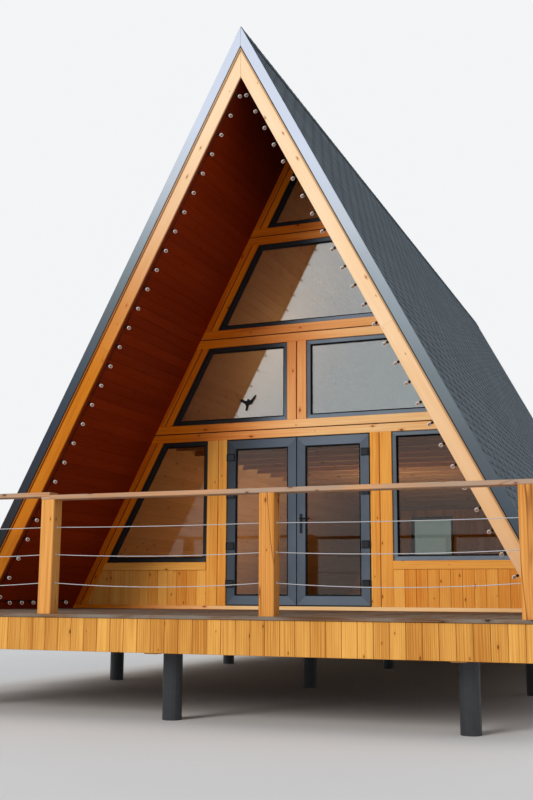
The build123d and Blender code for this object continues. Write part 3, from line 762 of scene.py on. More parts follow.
# %% Windows of the gable
window_outlines = [between_slopes(WINDOW_INSET, upper_top, APEX),
                   between_slopes(WINDOW_INSET, middle_top, upper_bottom)]
for side in (-1, 1):
    for z0, z1, inner in ((lower_top, middle_bottom, stud_half), (low_sill, lower_bottom, post_outer)):
        window_outlines.append(mirrored(beside_slope(z0, z1, inner), side))
gable_profile = (wall_front + FRAME_RECESS, FRAME_DEPTH, FRAME_FACE)
framed("gable_window_frames", "gable_window_beads", 7, window_outlines, gable_profile, window_foil_painted_light,
       "window_frame", "window_peak", "window_upper", "windows_mid", "windows_low")
groove_seals.finish(rubber, "black_plastic")

# %% [markdown]
# ## Glass
# A pane that bends light through a closed solid keeps the sun out of the room, because shadow rays
# don't pass through it. The usual cure is to let shadow rays see plain transparency, which Light
# Path picks out. The panes above the door have a sun-protection coating, so a share of the light is
# mirrored there. The lower ones are plain, and mirror so little that the room shows behind them.
# Very slight waves break up the reflections.


# %% Glass finish
def glass(name, tint, mirrored=0.0, waves=0.0, ior=1.5):
    """Clear glass; mirrored is the share of the light that a coating sends back."""
    recipe = Recipe(name, Base_Color=tint, Roughness=0.0, IOR=ior, Transmission_Weight=1.0)
    surface = recipe.shader.outputs[0]
    if mirrored:
        mirror = recipe.take("BsdfGlossy", {"Color": (0.96, 0.97, 0.94, 1.0), "Roughness": 0.02})
        surface = recipe.take("MixShader", {0: mirrored, 1: surface, 2: mirror})
    clear = recipe.take("BsdfTransparent", {"Color": tint})
    shadow = recipe.take("LightPath", output="Is Shadow Ray")
    recipe.put(recipe.out, "Surface", recipe.take("MixShader", {0: shadow, 1: surface, 2: clear}))
    if waves:
        recipe.bump(recipe.noise(recipe.place(), 1.6, detail=1.0), waves)
    return recipe.material


pane_glass = glass("pane_glass", (0.90, 0.90, 0.87, 1.0), waves=0.0003, ior=1.28)
coated_glass = glass("coated_glass", (0.80, 0.87, 0.90, 1.0), mirrored=0.12, waves=0.0006)
rear_tinted_glass = glass("rear_tinted_glass", (0.42, 0.47, 0.46, 1.0))

# %% [markdown]
# Each window holds two thin sheets with a dark spacer bar between them. The doubled reflections of
# real glazing come from that.


# %% Double glazing
def metal(name, tint, roughness, metallic=1.0, scale=40.0):
    """Metal or painted metal with cloudy wear in its colour and roughness."""
    recipe = Recipe(name, Metallic=metallic)
    tint = colour(*tint)
    cloud = recipe.noise(recipe.place(), scale, detail=3.0)
    recipe.set(Base_Color=recipe.ramp(cloud, [(0.3, toned(tint, 0.75)), (0.65, tint)]),
               Roughness=recipe.remap(cloud, 0.2, 0.8, roughness * 0.7, roughness * 1.3))
    recipe.bump(cloud, 0.0003, 0.3)
    return recipe.material


spacer_metal = metal("spacer_bar", (34, 35, 37), 0.5, metallic=0.4)
SHEET = 0.005
SPACER = 0.007


def glaze(name, outlines, profile, material, *replaced, body="cabin"):
    """Two sheets of glass in every outline, with a spacer bar round their edges."""
    sheets = Boards(name, seed=9)
    spacers = Frames(name + "_spacers", seed=10)
    front, depth, face = profile
    near = front + depth / 2 - GLASS_HALF
    far = near + 2 * GLASS_HALF
    for outline in outlines:
        edge = drawn_in(outline, face + FIT)
        for y0, y1 in ((near, near + SHEET), (far - SHEET, far)):
            sheets.add([ring_at(edge, y0), ring_at(edge, y1)], ALONG_Z)
        spacers.mitred(outline, rectangle(face, face + SPACER, near + SHEET, far - SHEET))
    sheets.finish(material, "glass", *replaced, body=body)
    spacers.finish(spacer_metal, "window_frame", body=body)


glaze("upper_panes", [outline for outline in window_outlines if outline[0][1] > lower_bottom],
      gable_profile, coated_glass, "gable_glass")
glaze("lower_panes", [outline for outline in window_outlines if outline[0][1] < lower_bottom],
      gable_profile, pane_glass)

# %% [markdown]
# A plain bird silhouette is stuck on one of the middle panes, to keep birds from flying into it.
# It is a thin sheet cut to an outline: a fanned tail, two wings with a few long feathers, a head.

# %% Bird on the pane
BIRD_X, BIRD_Z = -0.690, 3.580
BIRD_OUTLINE = [
    (-0.034, -0.108), (-0.014, -0.100), (-0.004, -0.112), (0.010, -0.062), (0.022, -0.030),
    (0.048, -0.026), (0.072, -0.006), (0.090, 0.030), (0.116, 0.050), (0.108, 0.060),
    (0.126, 0.084), (0.112, 0.086), (0.120, 0.108), (0.086, 0.080), (0.060, 0.048),
    (0.034, 0.030), (0.020, 0.046), (0.004, 0.052), (-0.010, 0.042), (-0.008, 0.026),
    (-0.040, 0.030), (-0.072, 0.052), (-0.100, 0.054), (-0.094, 0.042), (-0.112, 0.036),
    (-0.098, 0.026), (-0.104, 0.014), (-0.076, 0.008), (-0.044, -0.012), (-0.022, -0.040)]
BIRD_OFF_PANE = (0.0005, 0.0001)
pane_y = gable_profile[0] + FRAME_DEPTH / 2 - GLASS_HALF
bird = Boards("window_bird", seed=14)
bird.add([ring_at([(BIRD_X + x, BIRD_Z + z) for x, z in BIRD_OUTLINE], pane_y - off)
          for off in BIRD_OFF_PANE], ALONG_Z)
bird.finish(rubber, "black_plastic")

# %% [markdown]
# ## The double door
# Each leaf is a wide mitred frame in a bluer foil, and it turns on its own body, so everything on
# a leaf rides on that body. The fixed frame sits behind the leaves. The section is the window's,
# with a broader face. Dark covers hide the screws of the hinges.

# %% Leaves and fixed frame
# The door foil is painted paler towards the lit side and darker in the shade: painted light.
door_foil_painted_light = foil("door_foil_painted_light", (46, 54, 64), roughness=0.32,
                 painted_sheen=((92, 104, 118), TO_THE_LIT_SIDE, -2.2, -0.4))
LEAF_FACE = 0.122
HINGE_LEVELS = (0.250, 0.720, 1.370, 1.850)
COVER_DEPTH = 0.020
COVER_STEPS = ((-0.022, 0.005), (-0.018, 0.0), (0.058, 0.0), (0.070, 0.010))
hinge_cover = metal("hinge_cover", (34, 38, 44), 0.3, metallic=0.3)

for side in ("left", "right"):
    low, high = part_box("door_leaf_" + side)
    outlines, body = [rectangle(low.x, high.x, low.z, high.z)], side + "_leaf"
    leaf_profile = (low.y, high.y - low.y, LEAF_FACE)
    framed("door_leaf_profile_" + side, "door_leaf_bead_" + side, 11, outlines, leaf_profile,
           door_foil_painted_light, "door_frame", "door_leaf_" + side, body=body)
    glaze("door_panes_" + side, outlines, leaf_profile, pane_glass, "door_glass_" + side, body=body)
    covers = Boards("door_hinge_covers_" + side, seed=15)
    edge, inwards = (low.x, 1) if side == "left" else (high.x, -1)
    for level in HINGE_LEVELS:
        rings = []
        for height, set_back in COVER_STEPS:
            front = low.y - COVER_DEPTH + set_back
            section = [(0.006, low.y), (0.098, low.y), (0.098, front + 0.003), (0.095, front),
                       (0.009, front), (0.006, front + 0.003)]
            z = door_bottom + level + height
            rings.append([Vector((edge + inwards * x, y, z)) for x, y in section])
        covers.add(rings, ALONG_Z)
    covers.finish(hinge_cover, "door_fittings", body=body)

low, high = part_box("door_frame")
door_frame = Frames("door_frame_profile", seed=13)
door_frame.mitred(rectangle(low.x, high.x, low.z, high.z), [
    (FIT, low.y + 0.002), (0.003, low.y), (0.057, low.y), (0.060, low.y + 0.003),
    (0.060, high.y - 0.003), (0.057, high.y), (0.003, high.y), (FIT, high.y - 0.002)])
door_frame.finish(door_foil_painted_light, "door_frame", "door_frame")


# %% [markdown]
# The hinges and the handle are small, plain parts, and the solids already have their shape. They
# stay as they are and only get a finish, which this helper gives to any solid of the cabin.


# %% Fittings
def dress(material, *nodes):
    """Give CAD nodes that stay as they are a finish."""
    for node in nodes:
        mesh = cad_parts[node].data
        mesh.materials.clear()
        mesh.materials.append(material)


dress(metal("hinge_steel", (58, 62, 68), 0.28, metallic=0.8),
      "door_hinges_left", "door_hinges_right", "door_hinge_brackets")
dress(metal("handle_coating", (24, 25, 28), 0.35, metallic=0.3), "door_handle")

# %% [markdown]
# ## Shingles
# Bitumen shingles are strips whose lower half is cut into tabs with slanting sides. Only the tabs
# show, so each tab is its own thin wedge: its top lies under the course above, and its lower edge
# stands a few millimetres off the course below. Every other course is shifted by half a tab. The
# granules are dark where a notch lets the course below show, which draws a dark dash between every
# two tabs. The shade value changes along the tab for that. A little lift and shade of its own
# keeps each tab from looking stamped.

# %% Shingle finish
recipe = Recipe("mineral_shingle", Roughness=0.9, IOR=1.4)
granules = recipe.noise(recipe.place(), 260.0, detail=1.0)
clouds = recipe.noise(recipe.place(), (1.3, 0.9, 1.3), detail=4.0)
tone = -0.19
for value, share in ((granules, 0.35), (clouds, 0.30), (recipe.stored("shade"), 0.75)):
    tone = recipe.maths("MULTIPLY_ADD", value, share, tone)
recipe.set(Base_Color=recipe.ramp(tone, [
    (0.10, colour(12, 16, 21)), (0.45, colour(80, 92, 101)), (0.85, colour(106, 118, 127))]))
recipe.bump(granules, 0.0015, 0.6)
shingle_finish = recipe.material

# %% Shingle tabs
COURSE = 0.130
TAB = 0.345
TAB_END = 0.230
NOTCH = 0.088
SLOT = 0.004
HEAD_LAP = 0.022
COVERED = NOTCH + HEAD_LAP
TAB_LENGTH = COURSE + COVERED
TAB_THICKNESS = 0.0038
UPPER_INSET = 0.0118
LOWER_INSET = 0.0036
BED_INSET = 0.0158
BED_START = 0.04
TABS_START = 0.022
EAVE_GAP = LIP = 0.006
roof_y0, roof_y1 = verge + LIP, rear_verge - LIP


def down_slope(side):
    return Vector((side * SIN, 0, -COS))


def shingle_tab(boards, side, along, y, tone, lift):
    """One tab whose lower edge is at a distance down the slope; it starts under the next course."""
    stations = [(0.0, SLOT / 2, 0.0), (COVERED - 0.006, SLOT / 2, 0.0), (COVERED, SLOT / 2, tone),
                (TAB_LENGTH - NOTCH, SLOT / 2, tone), (TAB_LENGTH, (TAB - TAB_END) / 2, tone)]
    rings = []
    for reached, margin, _ in stations:
        y0, y1 = (min(max(edge, roof_y0), roof_y1) for edge in (y + margin, y + TAB - margin))
        top = UPPER_INSET + (LOWER_INSET - lift - UPPER_INSET) * reached / TAB_LENGTH
        down = max(along - TAB_LENGTH + reached, TABS_START)
        rings.append([on_slope(side, down, inset, place) for inset, place in (
            (top, y0), (top, y1), (top + TAB_THICKNESS, y1), (top + TAB_THICKNESS, y0))])
    if max(ring[1].y - ring[0].y for ring in rings) > 0.02:
        boards.add(rings, down_slope(side), ALONG_Y, [shade for _, _, shade in stations])


for side, name in ((-1, "left"), (1, "right")):
    tabs = Boards("shingles_" + name, seed=20 + side)
    luck = tabs.luck
    bed = [on_slope(side, BED_START, inset, y) for inset, y in (
        (BED_INSET, roof_y0), (BED_INSET, roof_y1), (COVERING, roof_y1), (COVERING, roof_y0))]
    bed_length = down_slope(side) * (slope_length - BED_START - COVERING * TAN)
    tabs.add([bed, [point + bed_length for point in bed]], bed_length.normalized(), ALONG_Y, 0.0)
    for course in range(int(slope_length / COURSE)):
        along = slope_length - course * COURSE - EAVE_GAP
        y = roof_y0 - (TAB / 2 if course % 2 else 0) + luck.uniform(-0.004, 0.004)
        while y < roof_y1 - 0.01:
            shingle_tab(tabs, side, along + luck.uniform(-0.0025, 0.0025), y,
                        luck.uniform(0.55, 0.75), luck.uniform(0.0, 0.0015))
            y += TAB
    tabs.finish(shingle_finish, "shingles", "roof_covering_" + name)

# %% [markdown]
# ## Ridge caps
# Along the ridge, single shingles are folded over the top, each one lapping the last. A fold has a
# soft bend, so each cap is a strip bent round a small radius, and its far end is tucked under the
# next. The laps make the fine steps along the silhouette.

# %% Caps over the ridge
CAP_STEP = 0.140
CAP_LAP = 0.05
CAP_WING, BEND_START = 0.150, 0.09
CAP_HALF_THICKNESS = 0.0025
BEND = 0.010
cap_low_y, cap_high_y = roof_y0 + LIP, roof_y1 - LIP


def cap_line(lift, y):
    """Line over the ridge, from the edge of one wing round the bend to the other."""
    centre = Vector((0, y, apex(-lift) - BEND / SIN))
    wing = [on_slope(-1, CAP_WING, -lift, y), on_slope(-1, BEND_START, -lift, y)]
    for step in range(4):
        reach = LEAN + (math.pi / 2 - LEAN) * step / 4
        wing.append(centre + Vector((-math.cos(reach), 0, math.sin(reach))) * BEND)
    other = [Vector((-point.x, y, point.z)) for point in reversed(wing)]
    return wing + [centre + ALONG_Z * BEND] + other


caps = Boards("ridge_cap_shingles", seed=31)
y = cap_low_y
while y < cap_high_y - 0.02:
    near = caps.luck.uniform(0.0040, 0.0058)
    rings = []
    for place, lift in ((y, near), (min(y + CAP_STEP + CAP_LAP, cap_high_y), 0.0010)):
        inner = cap_line(lift - CAP_HALF_THICKNESS, place)
        rings.append(cap_line(lift + CAP_HALF_THICKNESS, place) + inner[::-1])
    caps.add(rings, ALONG_Y, ALONG_X, caps.luck.uniform(0.3, 0.6))
    y += CAP_STEP
caps.finish(shingle_finish, "shingles", "ridge_cap")

# %% [markdown]
# ## Verge trims
# A folded sheet of painted metal covers the edge of the roof at both ends. Its upper fold is a small
# lip, and the shingles run out to it. It comes in lengths of about two metres that lap, so the trim
# is built in lengths too, every other one a hair further out. Its colour is painted dark low down and
# pale near the top and on the right: painted shade and a painted reflection of the sky.

# %% Trim paint
# The trim's tones are painted shade low down and a painted reflection of the sky up high.
UP_AND_RIGHT = (0.38, 0.0, 1.0)
TRIM_PAINTED_LIGHT_TONES = [(1.2, (38, 40, 46)), (2.4, (44, 52, 66)), (3.2, (66, 78, 90)), (3.8, (88, 98, 106)),
              (4.5, (114, 126, 134)), (5.2, (150, 162, 173)), (5.8, (186, 196, 208)),
              (6.6, (204, 214, 232))]
TRIM_SPAN = 8.0
recipe = Recipe("trim_paint_painted_light", Roughness=0.4, Specular_IOR_Level=0.25)
clouds = recipe.noise(recipe.place(), (1.1, 1.1, 0.7), detail=3.0)
reach = recipe.maths("MULTIPLY_ADD", clouds, 0.5, recipe.reach(UP_AND_RIGHT))
recipe.set(Base_Color=recipe.ramp(
    recipe.maths("DIVIDE", reach, TRIM_SPAN),
    [(metres / TRIM_SPAN, colour(*tint)) for metres, tint in TRIM_PAINTED_LIGHT_TONES]))
recipe.bump(recipe.noise(recipe.place(), 0.9), 0.01, 0.5)
trim_paint_painted_light = recipe.material

# %% Folded trims
MITRE_GAP = 0.0015
FIRST_TRIM, TRIM_LENGTH, SHORTEST_TRIM = 1.3, 2.0, 0.4
TRIM_LAP = 0.0009
TRIM_DEPTH = 0.040
FOLD = 0.0025
# The end of the nodes' names, the trim, the barge board, the face, the way inwards, the slopes
ROOF_ENDS = [("front_left", "front_trim_left", "barge_left", verge, 1, (-1,)),
             ("front_right", "front_trim_right", "barge_right", verge, 1, (1,)),
             ("rear", "rear_trim", "barge_rear", rear_verge, -1, (-1, 1))]


def along_slope(boards, side, section, start, end, shade=None):
    """Sweep a section of (inset, y) down a slope, from "ridge" or a distance to one or to "eave"."""
    def ring(place):
        if place == "ridge":
            return [Vector((side * MITRE_GAP, y, apex(inset) - MITRE_GAP / TAN)) for inset, y in section]
        if place == "eave":
            return [Vector((side * half_width(EAVE, inset), y, EAVE)) for inset, y in section]
        return [on_slope(side, place, inset, y) for inset, y in section]
    boards.add([ring(start), ring(end)], down_slope(side), FRONT, shade)


for ending, name, _, face, inwards, sides in ROOF_ENDS:
    trims = Boards(name, seed=41)
    for side in sides:
        place, number = "ridge", 0
        while place != "eave":
            reached = place + TRIM_LENGTH if number else FIRST_TRIM
            end = "eave" if reached > slope_length - SHORTEST_TRIM else reached
            back_off = 0.0 if number % 2 else TRIM_LAP
            section = [(0.0, LIP), (0.0, FOLD + back_off), (FOLD, back_off),
                       (TRIM_WIDTH - FOLD, back_off), (TRIM_WIDTH, FOLD + back_off),
                       (TRIM_WIDTH, TRIM_DEPTH), (COVERING, TRIM_DEPTH), (COVERING, LIP)]
            section = [(inset, face + inwards * depth) for inset, depth in section]
            along_slope(trims, side, section, place, end)
            place, number = end, number + 1
    trims.finish(trim_paint_painted_light, "metal_trim", "verge_trim_" + ending)

# %% [markdown]
# ## Barge boards
# Under the metal runs a planed board with a thin strip nailed to its outer edge. A black foam seal
# closes the joint between metal and timber, and shows as a fine dark line. The boards of the two
# slopes meet in an upright mitre below the ridge. The timber is painted paler towards the top and
# the right, as painted light, and the strip is painted darker, as painted shade close under the metal.

# %% Barge boards
UP_AND_SUNNY = (1.0, 0.0, 1.0)
# The barge stain is painted paler towards the top and the right: painted light.
barge_finish = timber(
    "barge_stain_painted_light", (214, 134, 36), (178, 97, 15), (150, 88, 44), contrast=0.9, knots=0.7,
    painted_light_and_shade=((252, 222, 188), (242, 200, 146), UP_AND_SUNNY, 1.8, 6.8))
# The strip is painted darker, painted shade, and paler towards the top and the right, painted light.
strip_painted_shade_finish = timber(
    "barge_strip_stain_painted_light_and_shade", (186, 106, 30), (142, 74, 12), (110, 62, 30), contrast=0.9, knots=0.3,
    painted_light_and_shade=((206, 172, 136), (182, 144, 104), UP_AND_SUNNY, 1.8, 6.8))
SEAL_GAP = 0.010
SEAL_FRONT, SEAL_BACK, SEAL_CLEAR = 0.009, 0.015, 0.0002
STRIP_WIDTH = 0.028
STRIP_DEPTH = 0.015
BARGE_DEPTH = 0.025
BARGE_CLEAR = 0.0005
BOARD_LENGTH = 4.1
END_GAP = 0.0007

for ending, _, name, face, inwards, sides in ROOF_ENDS:
    def section_from(inset, depth, outline):
        return [(TRIM_WIDTH + inset + a, face + inwards * (depth + b)) for a, b in outline]

    board, strip, seal = Boards(name, 51), Boards(name + "_strip", 52), Boards(name + "_seal", 53)
    board_section = section_from(BARGE_CLEAR, STRIP_DEPTH, planed(
        INNER - TRIM_WIDTH - BARGE_CLEAR, BARGE_DEPTH, 0.004))
    strip_section = section_from(SEAL_GAP, FIT, planed(
        STRIP_WIDTH - SEAL_GAP, STRIP_DEPTH - FIT, 0.003))
    seal_section = section_from(SEAL_CLEAR, 0.0, rectangle(0, SEAL_GAP, SEAL_FRONT, SEAL_BACK))
    for side in sides:
        along_slope(board, side, board_section, "ridge", BOARD_LENGTH - END_GAP)
        along_slope(board, side, board_section, BOARD_LENGTH + END_GAP, "eave")
        # The strip's low tone is painted shade.
        along_slope(strip, side, strip_section, "ridge", "eave", 0.3)
        along_slope(seal, side, seal_section, "ridge", "eave")
    board.finish(barge_finish, "barge_timber", "barge_board_" + ending)
    strip.finish(strip_painted_shade_finish, "barge_timber")
    seal.finish(rubber, "black_plastic")

# %% [markdown]
# ## Ceiling boards
# The underside of both slopes is boarded along the ridge. Under the open porch and the rear
# overhang the boards have a deep red-brown stain, painted darker than the gable's as painted shade,
# and indoors they are clear pine. Up under the ridge the colour is painted darker still, painted
# shade where little light gets, so the second pair of colours is the darker one here.
# Tongue-and-groove boards show a small V at each joint, which the planed edges give.


# %% Boards under the slopes
def rows(start, end, pitch):
    """From and to of boards laid side by side; the last one is cut to fit."""
    while start < end - 0.01:
        yield start, min(start + pitch, end)
        start += pitch


UNDER_THE_RIDGE = (0.5, 0.5, 1.0)
# The porch ceiling stain is painted dark, and darker still towards the ridge: painted shade.
porch_ceiling_finish = timber(
    "porch_ceiling_stain_painted_shade", (166, 57, 7), (122, 34, 2), (70, 20, 3), contrast=0.45, knots=0.7,
    painted_light_and_shade=((108, 34, 4), (78, 20, 2), UNDER_THE_RIDGE, 3.0, 4.6))
pine_finish = timber("inside_pine", (222, 180, 128), (184, 138, 90), (122, 84, 52), roughness=0.55,
                     contrast=0.5)
CEILING_PITCH = 0.121
CEILING_APEX = INNER / TAN
ROOM_JOINT = 1.6
IN_THE_WALL = 0.02
END_JOINT = 0.002
porch_ceiling = Boards("ceiling_outside", seed=61)
room_ceiling = Boards("ceiling_inside", seed=62)
runs = [(porch_ceiling, verge + TRIM_DEPTH, wall_front + IN_THE_WALL),
        (room_ceiling, wall_front + IN_THE_WALL, ROOM_JOINT),
        (room_ceiling, ROOM_JOINT + END_JOINT, rear_wall_front + IN_THE_WALL),
        (porch_ceiling, rear_wall_front + IN_THE_WALL + END_JOINT, rear_verge - TRIM_DEPTH)]
for side in (-1, 1):
    for place, edge in rows(CEILING_APEX, slope_length - INNER * TAN, CEILING_PITCH):
        outline = planed(edge - place - 0.0010, INNER - UNDER_PANEL, 0.0022)
        for boards, *ends in runs:
            boards.add([[on_slope(side, place + a, INNER - b, y) for a, b in outline] for y in ends],
                       ALONG_Y, Vector((side * COS, 0, SIN)))
porch_ceiling.finish(porch_ceiling_finish, "ceiling_timber", "ceiling_boards_left",
                     "ceiling_boards_right")
room_ceiling.finish(pine_finish, "floor_timber")

# %% [markdown]
# ## The deck
# Deck boards run from the house to the front, where a nosing board closes their ends. They have a
# gap for rain and grey, weathered faces. Under the slopes the deck narrows, and the outer boards
# are cut to the ceiling.

# %% Deck boards
deck_finish = timber(
    "deck_weathered", (150, 118, 92), (92, 66, 48), (52, 34, 24), roughness=0.85,
    grey=(128, 118, 108), contrast=1.2)
deck_low, deck_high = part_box("deck_boards")
deck_front, deck_top, deck_side = deck_low.y, deck_high.z, deck_high.x
DECK_PITCH = 0.144
DECK_GAP = 0.005
NOSING = 0.140
END_CLEAR = 0.001
board_start = deck_front + NOSING + DECK_GAP
open_end = verge - 0.005
deck = Boards("deck_planks", seed=71)
thickness = Vector((0, 0, deck_low.z - deck_top))
for start in (-deck_side, 0.0):
    straight_board(deck, Vector((start + END_CLEAR, deck_front, deck_top)),
                   ALONG_X * (deck_side - 2 * END_CLEAR), ALONG_Y * NOSING, thickness, 0.005, 0.2)
for side in (-1, 1):
    straight_board(deck, Vector((side * deck_side, board_start, deck_top)),
                   ALONG_Y * (open_end - board_start), ALONG_X * -side * NOSING, thickness, 0.005)

inner_half = deck_side - NOSING - DECK_GAP
pitch = 2 * inner_half / round(2 * inner_half / DECK_PITCH)
for x, edge in rows(-inner_half, inner_half, pitch):
    x0, x1 = x + DECK_GAP / 2, edge - DECK_GAP / 2
    outline = rectangle(x0, x1, deck_low.z, deck_top)
    porch_part = clipped(outline, lambda x, z: half_width(z, INNER) - abs(x))
    whole = porch_part == outline
    straight_board(deck, Vector((x0, board_start, deck_top)),
                   ALONG_Y * ((wall_front if whole else open_end) - board_start),
                   ALONG_X * (x1 - x0), thickness, 0.004)
    if not whole and len(porch_part) > 2:
        ends = (verge + TRIM_DEPTH + END_JOINT, wall_front)
        deck.add([ring_at(porch_part, y) for y in ends], ALONG_Y, ALONG_Z)
deck.finish(deck_finish, "deck_timber", "deck_boards")

# %% [markdown]
# Short upright boards close the edge of the deck and hide its frame. They have the width and the
# planed edges of the boards on the walls, so the same tools make them. Those on the two ends face
# sideways, and are square-cut boards that stand upright.

# %% Boards round the edge of the deck
fascia_finish = timber("fascia_stain", (232, 174, 88), (182, 118, 48), (110, 62, 22), knots=0.8)
FASCIA_DEPTH = 0.025
fascia = Boards("deck_fascia_boards", seed=75)
low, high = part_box("deck_fascia_front")
for x0, x1 in rows(low.x, high.x, BOARD_PITCH):
    outline = rectangle(x0 + BOARD_JOINT / 2, x1 - BOARD_JOINT / 2, low.z, high.z)
    upright_board(fascia, outline, low.y, high.y, ALONG_Z, BOARD_EDGE)
low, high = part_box("deck_fascia_sides")
for side in (-1, 1):
    for y0, y1 in rows(low.y, high.y, BOARD_PITCH):
        corner = Vector((side * high.x, y0 + BOARD_JOINT / 2, low.z))
        straight_board(fascia, corner, ALONG_Z * (high.z - low.z), ALONG_Y * (y1 - y0 - BOARD_JOINT),
                       ALONG_X * -side * FASCIA_DEPTH, BOARD_EDGE)
fascia.finish(fascia_finish, "cladding_timber", "deck_fascia_front", "deck_fascia_sides")

# %% [markdown]
# ## Railing
# Posts of 142 mm carry a flat handrail. Such posts hold the heart of the tree, so they split along
# the grain as they dry, and the finish adds long thin cracks. The handrail has had more sun and
# rain, and is greyer. Its left part lies on top of the other and laps it at a post.

# %% Posts
post_finish = timber("post_stain", (228, 164, 90), (190, 118, 46), (118, 66, 30), roughness=0.7,
                     contrast=1.1, cracks=0.8)
posts = Boards("railing_posts", seed=81)
post_low, post_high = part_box("rail_posts")
POST = 0.142
rail_bottom, left_rail_bottom = levels("handrail_front")[0], levels("handrail_front_left")[0]
corner_x = post_high.x - POST / 2
front_y, back_y = post_low.y + POST / 2, post_high.y - POST / 2
post_places = [(share * corner_x, front_y) for share in (-1, -1 / 3, 1 / 3, 1)]
post_places += [(-corner_x, back_y), (corner_x, back_y)]
for x, y in post_places:
    top = left_rail_bottom if x < -corner_x / 2 else rail_bottom
    corner = Vector((x - POST / 2, y - POST / 2, post_low.z))
    straight_board(posts, corner, ALONG_Z * (top - post_low.z), ALONG_X * POST, ALONG_Y * POST, 0.006)
posts.finish(post_finish, "post_timber", "rail_posts")

# %% Handrail
handrail_finish = timber(
    "handrail_weathered", (202, 156, 118), (158, 110, 76), (96, 60, 40), roughness=0.78,
    grey=(174, 148, 128), cracks=0.5)
rails = Boards("handrails", seed=85)
RAIL_EDGE = 0.005
RAIL_HALF = 0.075
PAST_POST = 0.020
low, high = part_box("handrail_front")
left_low, left_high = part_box("handrail_front_left")
main_start = -corner_x / 3 + PAST_POST
depth, rail = ALONG_Y * (high.y - low.y), ALONG_Z * (left_high.z - left_low.z)
for corner, length, tall in (
        (Vector((main_start, low.y, low.z)), high.x - main_start, ALONG_Z * (high.z - low.z)),
        (Vector((low.x, low.y, low.z)), main_start - low.x, ALONG_Z * (left_low.z - low.z)),
        (left_low, left_high.x - left_low.x - 2 * END_CLEAR, rail)):
    straight_board(rails, corner, ALONG_X * length, tall, depth, RAIL_EDGE)
side_low, side_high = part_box("handrails_side")
for side, z0 in ((-1, left_rail_bottom), (1, rail_bottom)):
    corner = Vector((side * side_high.x, side_low.y + END_CLEAR, z0))
    straight_board(rails, corner, ALONG_Y * (side_high.y - side_low.y - END_CLEAR),
                   ALONG_X * -side * (side_high.x - (corner_x - RAIL_HALF)), rail, RAIL_EDGE)
rails.finish(handrail_finish, "handrail_timber", "handrail_front", "handrail_front_left",
             "handrails_side")

# %% [markdown]
# The cables are ropes of thin galvanised wires. Single strands would cost thousands of triangles and
# hardly show, so the solids stay, and slanting bands in the colour and the bump give the lay of the
# strands.

# %% Cables
recipe = Recipe("galvanised_cable", Metallic=0.45, Roughness=0.42)
lay = recipe.take("TexWave", {"Vector": recipe.place(), "Scale": 60.0, "Distortion": 0.0}, "Fac",
                  wave_type="BANDS", bands_direction="DIAGONAL")
recipe.set(Base_Color=recipe.ramp(lay, [(0.0, colour(176, 178, 182)), (1.0, colour(234, 236, 240))]))
recipe.bump(lay, 0.0012)
cable_finish = recipe.material
dress(cable_finish, "cables_front", "cables_side")

# %% [markdown]
# Where a cable enters a post, a small washer covers the hole. It is a round shape turned about the
# cable's line, made with the same helper that later turns the bulbs.


# %% Washers on the cables
def turned(boards, foot, axis, profile, sides=12):
    """Turn a profile of (distance along the axis, radius) into a closed round shape."""
    first = axis.orthogonal().normalized()
    second = axis.cross(first)
    turns = [2 * math.pi * k / sides for k in range(sides)]
    spokes = [first * math.cos(angle) + second * math.sin(angle) for angle in turns]
    boards.add([[foot + axis * reached + spoke * radius for spoke in spokes]
                for reached, radius in profile], axis, first)


CABLE_HEIGHTS = (0.283, 0.546, 0.803)
WASHER_PROFILE = [(0.0002, 0.0125), (0.0018, 0.0125), (0.0026, 0.0115), (0.0060, 0.0060)]
washers = Boards("cable_washers", seed=87)
faces = [(x, y, ALONG_X * side) for x, y in post_places[:4] for side in (-1, 1)
         if abs(x + side * POST) < corner_x]
faces += [(x, y, ALONG_Y * (1 if y < (front_y + back_y) / 2 else -1))
          for x, y in (post_places[0], *post_places[3:])]
for x, y, facing in faces:
    for height in CABLE_HEIGHTS:
        foot = Vector((x, y, deck_top + height)) + facing * POST / 2
        turned(washers, foot, facing, WASHER_PROFILE)
washers.finish(cable_finish, "cable")

# %% [markdown]
# ## Floors and the parts underneath
# The boards of the ground floor are seen through the door. The joists, bearers and piles are plain
# sawn timber and painted steel, and stay as the solids are, with a finish that takes its grain
# from the axes of the model.

# %% Floor boards, frames and piles
FLOOR_PITCH = 0.146
FLOOR_JOINT = 0.0016
floor_boards = Boards("house_floor_boards", seed=91)
low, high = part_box("house_floor")
edge_x = half_width(high.z, INNER)
for x0, x1 in rows(-edge_x, edge_x, 2 * edge_x / round(2 * edge_x / FLOOR_PITCH)):
    straight_board(floor_boards, Vector((x0 + FLOOR_JOINT / 2, low.y, high.z)),
                   ALONG_Y * (high.y - low.y), ALONG_X * (x1 - x0 - FLOOR_JOINT),
                   ALONG_Z * (low.z - high.z), 0.002)
floor_boards.finish(pine_finish, "floor_timber", "house_floor")

dress(timber("sawn_joists", (196, 156, 108), (150, 108, 66), (90, 56, 30), roughness=0.85, grain="XYZ"),
      "floor_frame", "deck_frame", "loft_floor")
dress(metal("pile_paint", (70, 72, 76), 0.5, metallic=0.6, scale=12.0), "piles")
dress(timber("roof_sheathing", (196, 160, 112), (150, 112, 70), (96, 62, 36), roughness=0.85,
             grain="YXZ"), "roof_panel_left", "roof_panel_right")

# %% [markdown]
# ## The rear wall
# The back of the cabin is plain: the same upright boards from slope to slope, in two storeys, with
# three windows. A strip that meets a window keeps only what lies
# beside, above or below it.

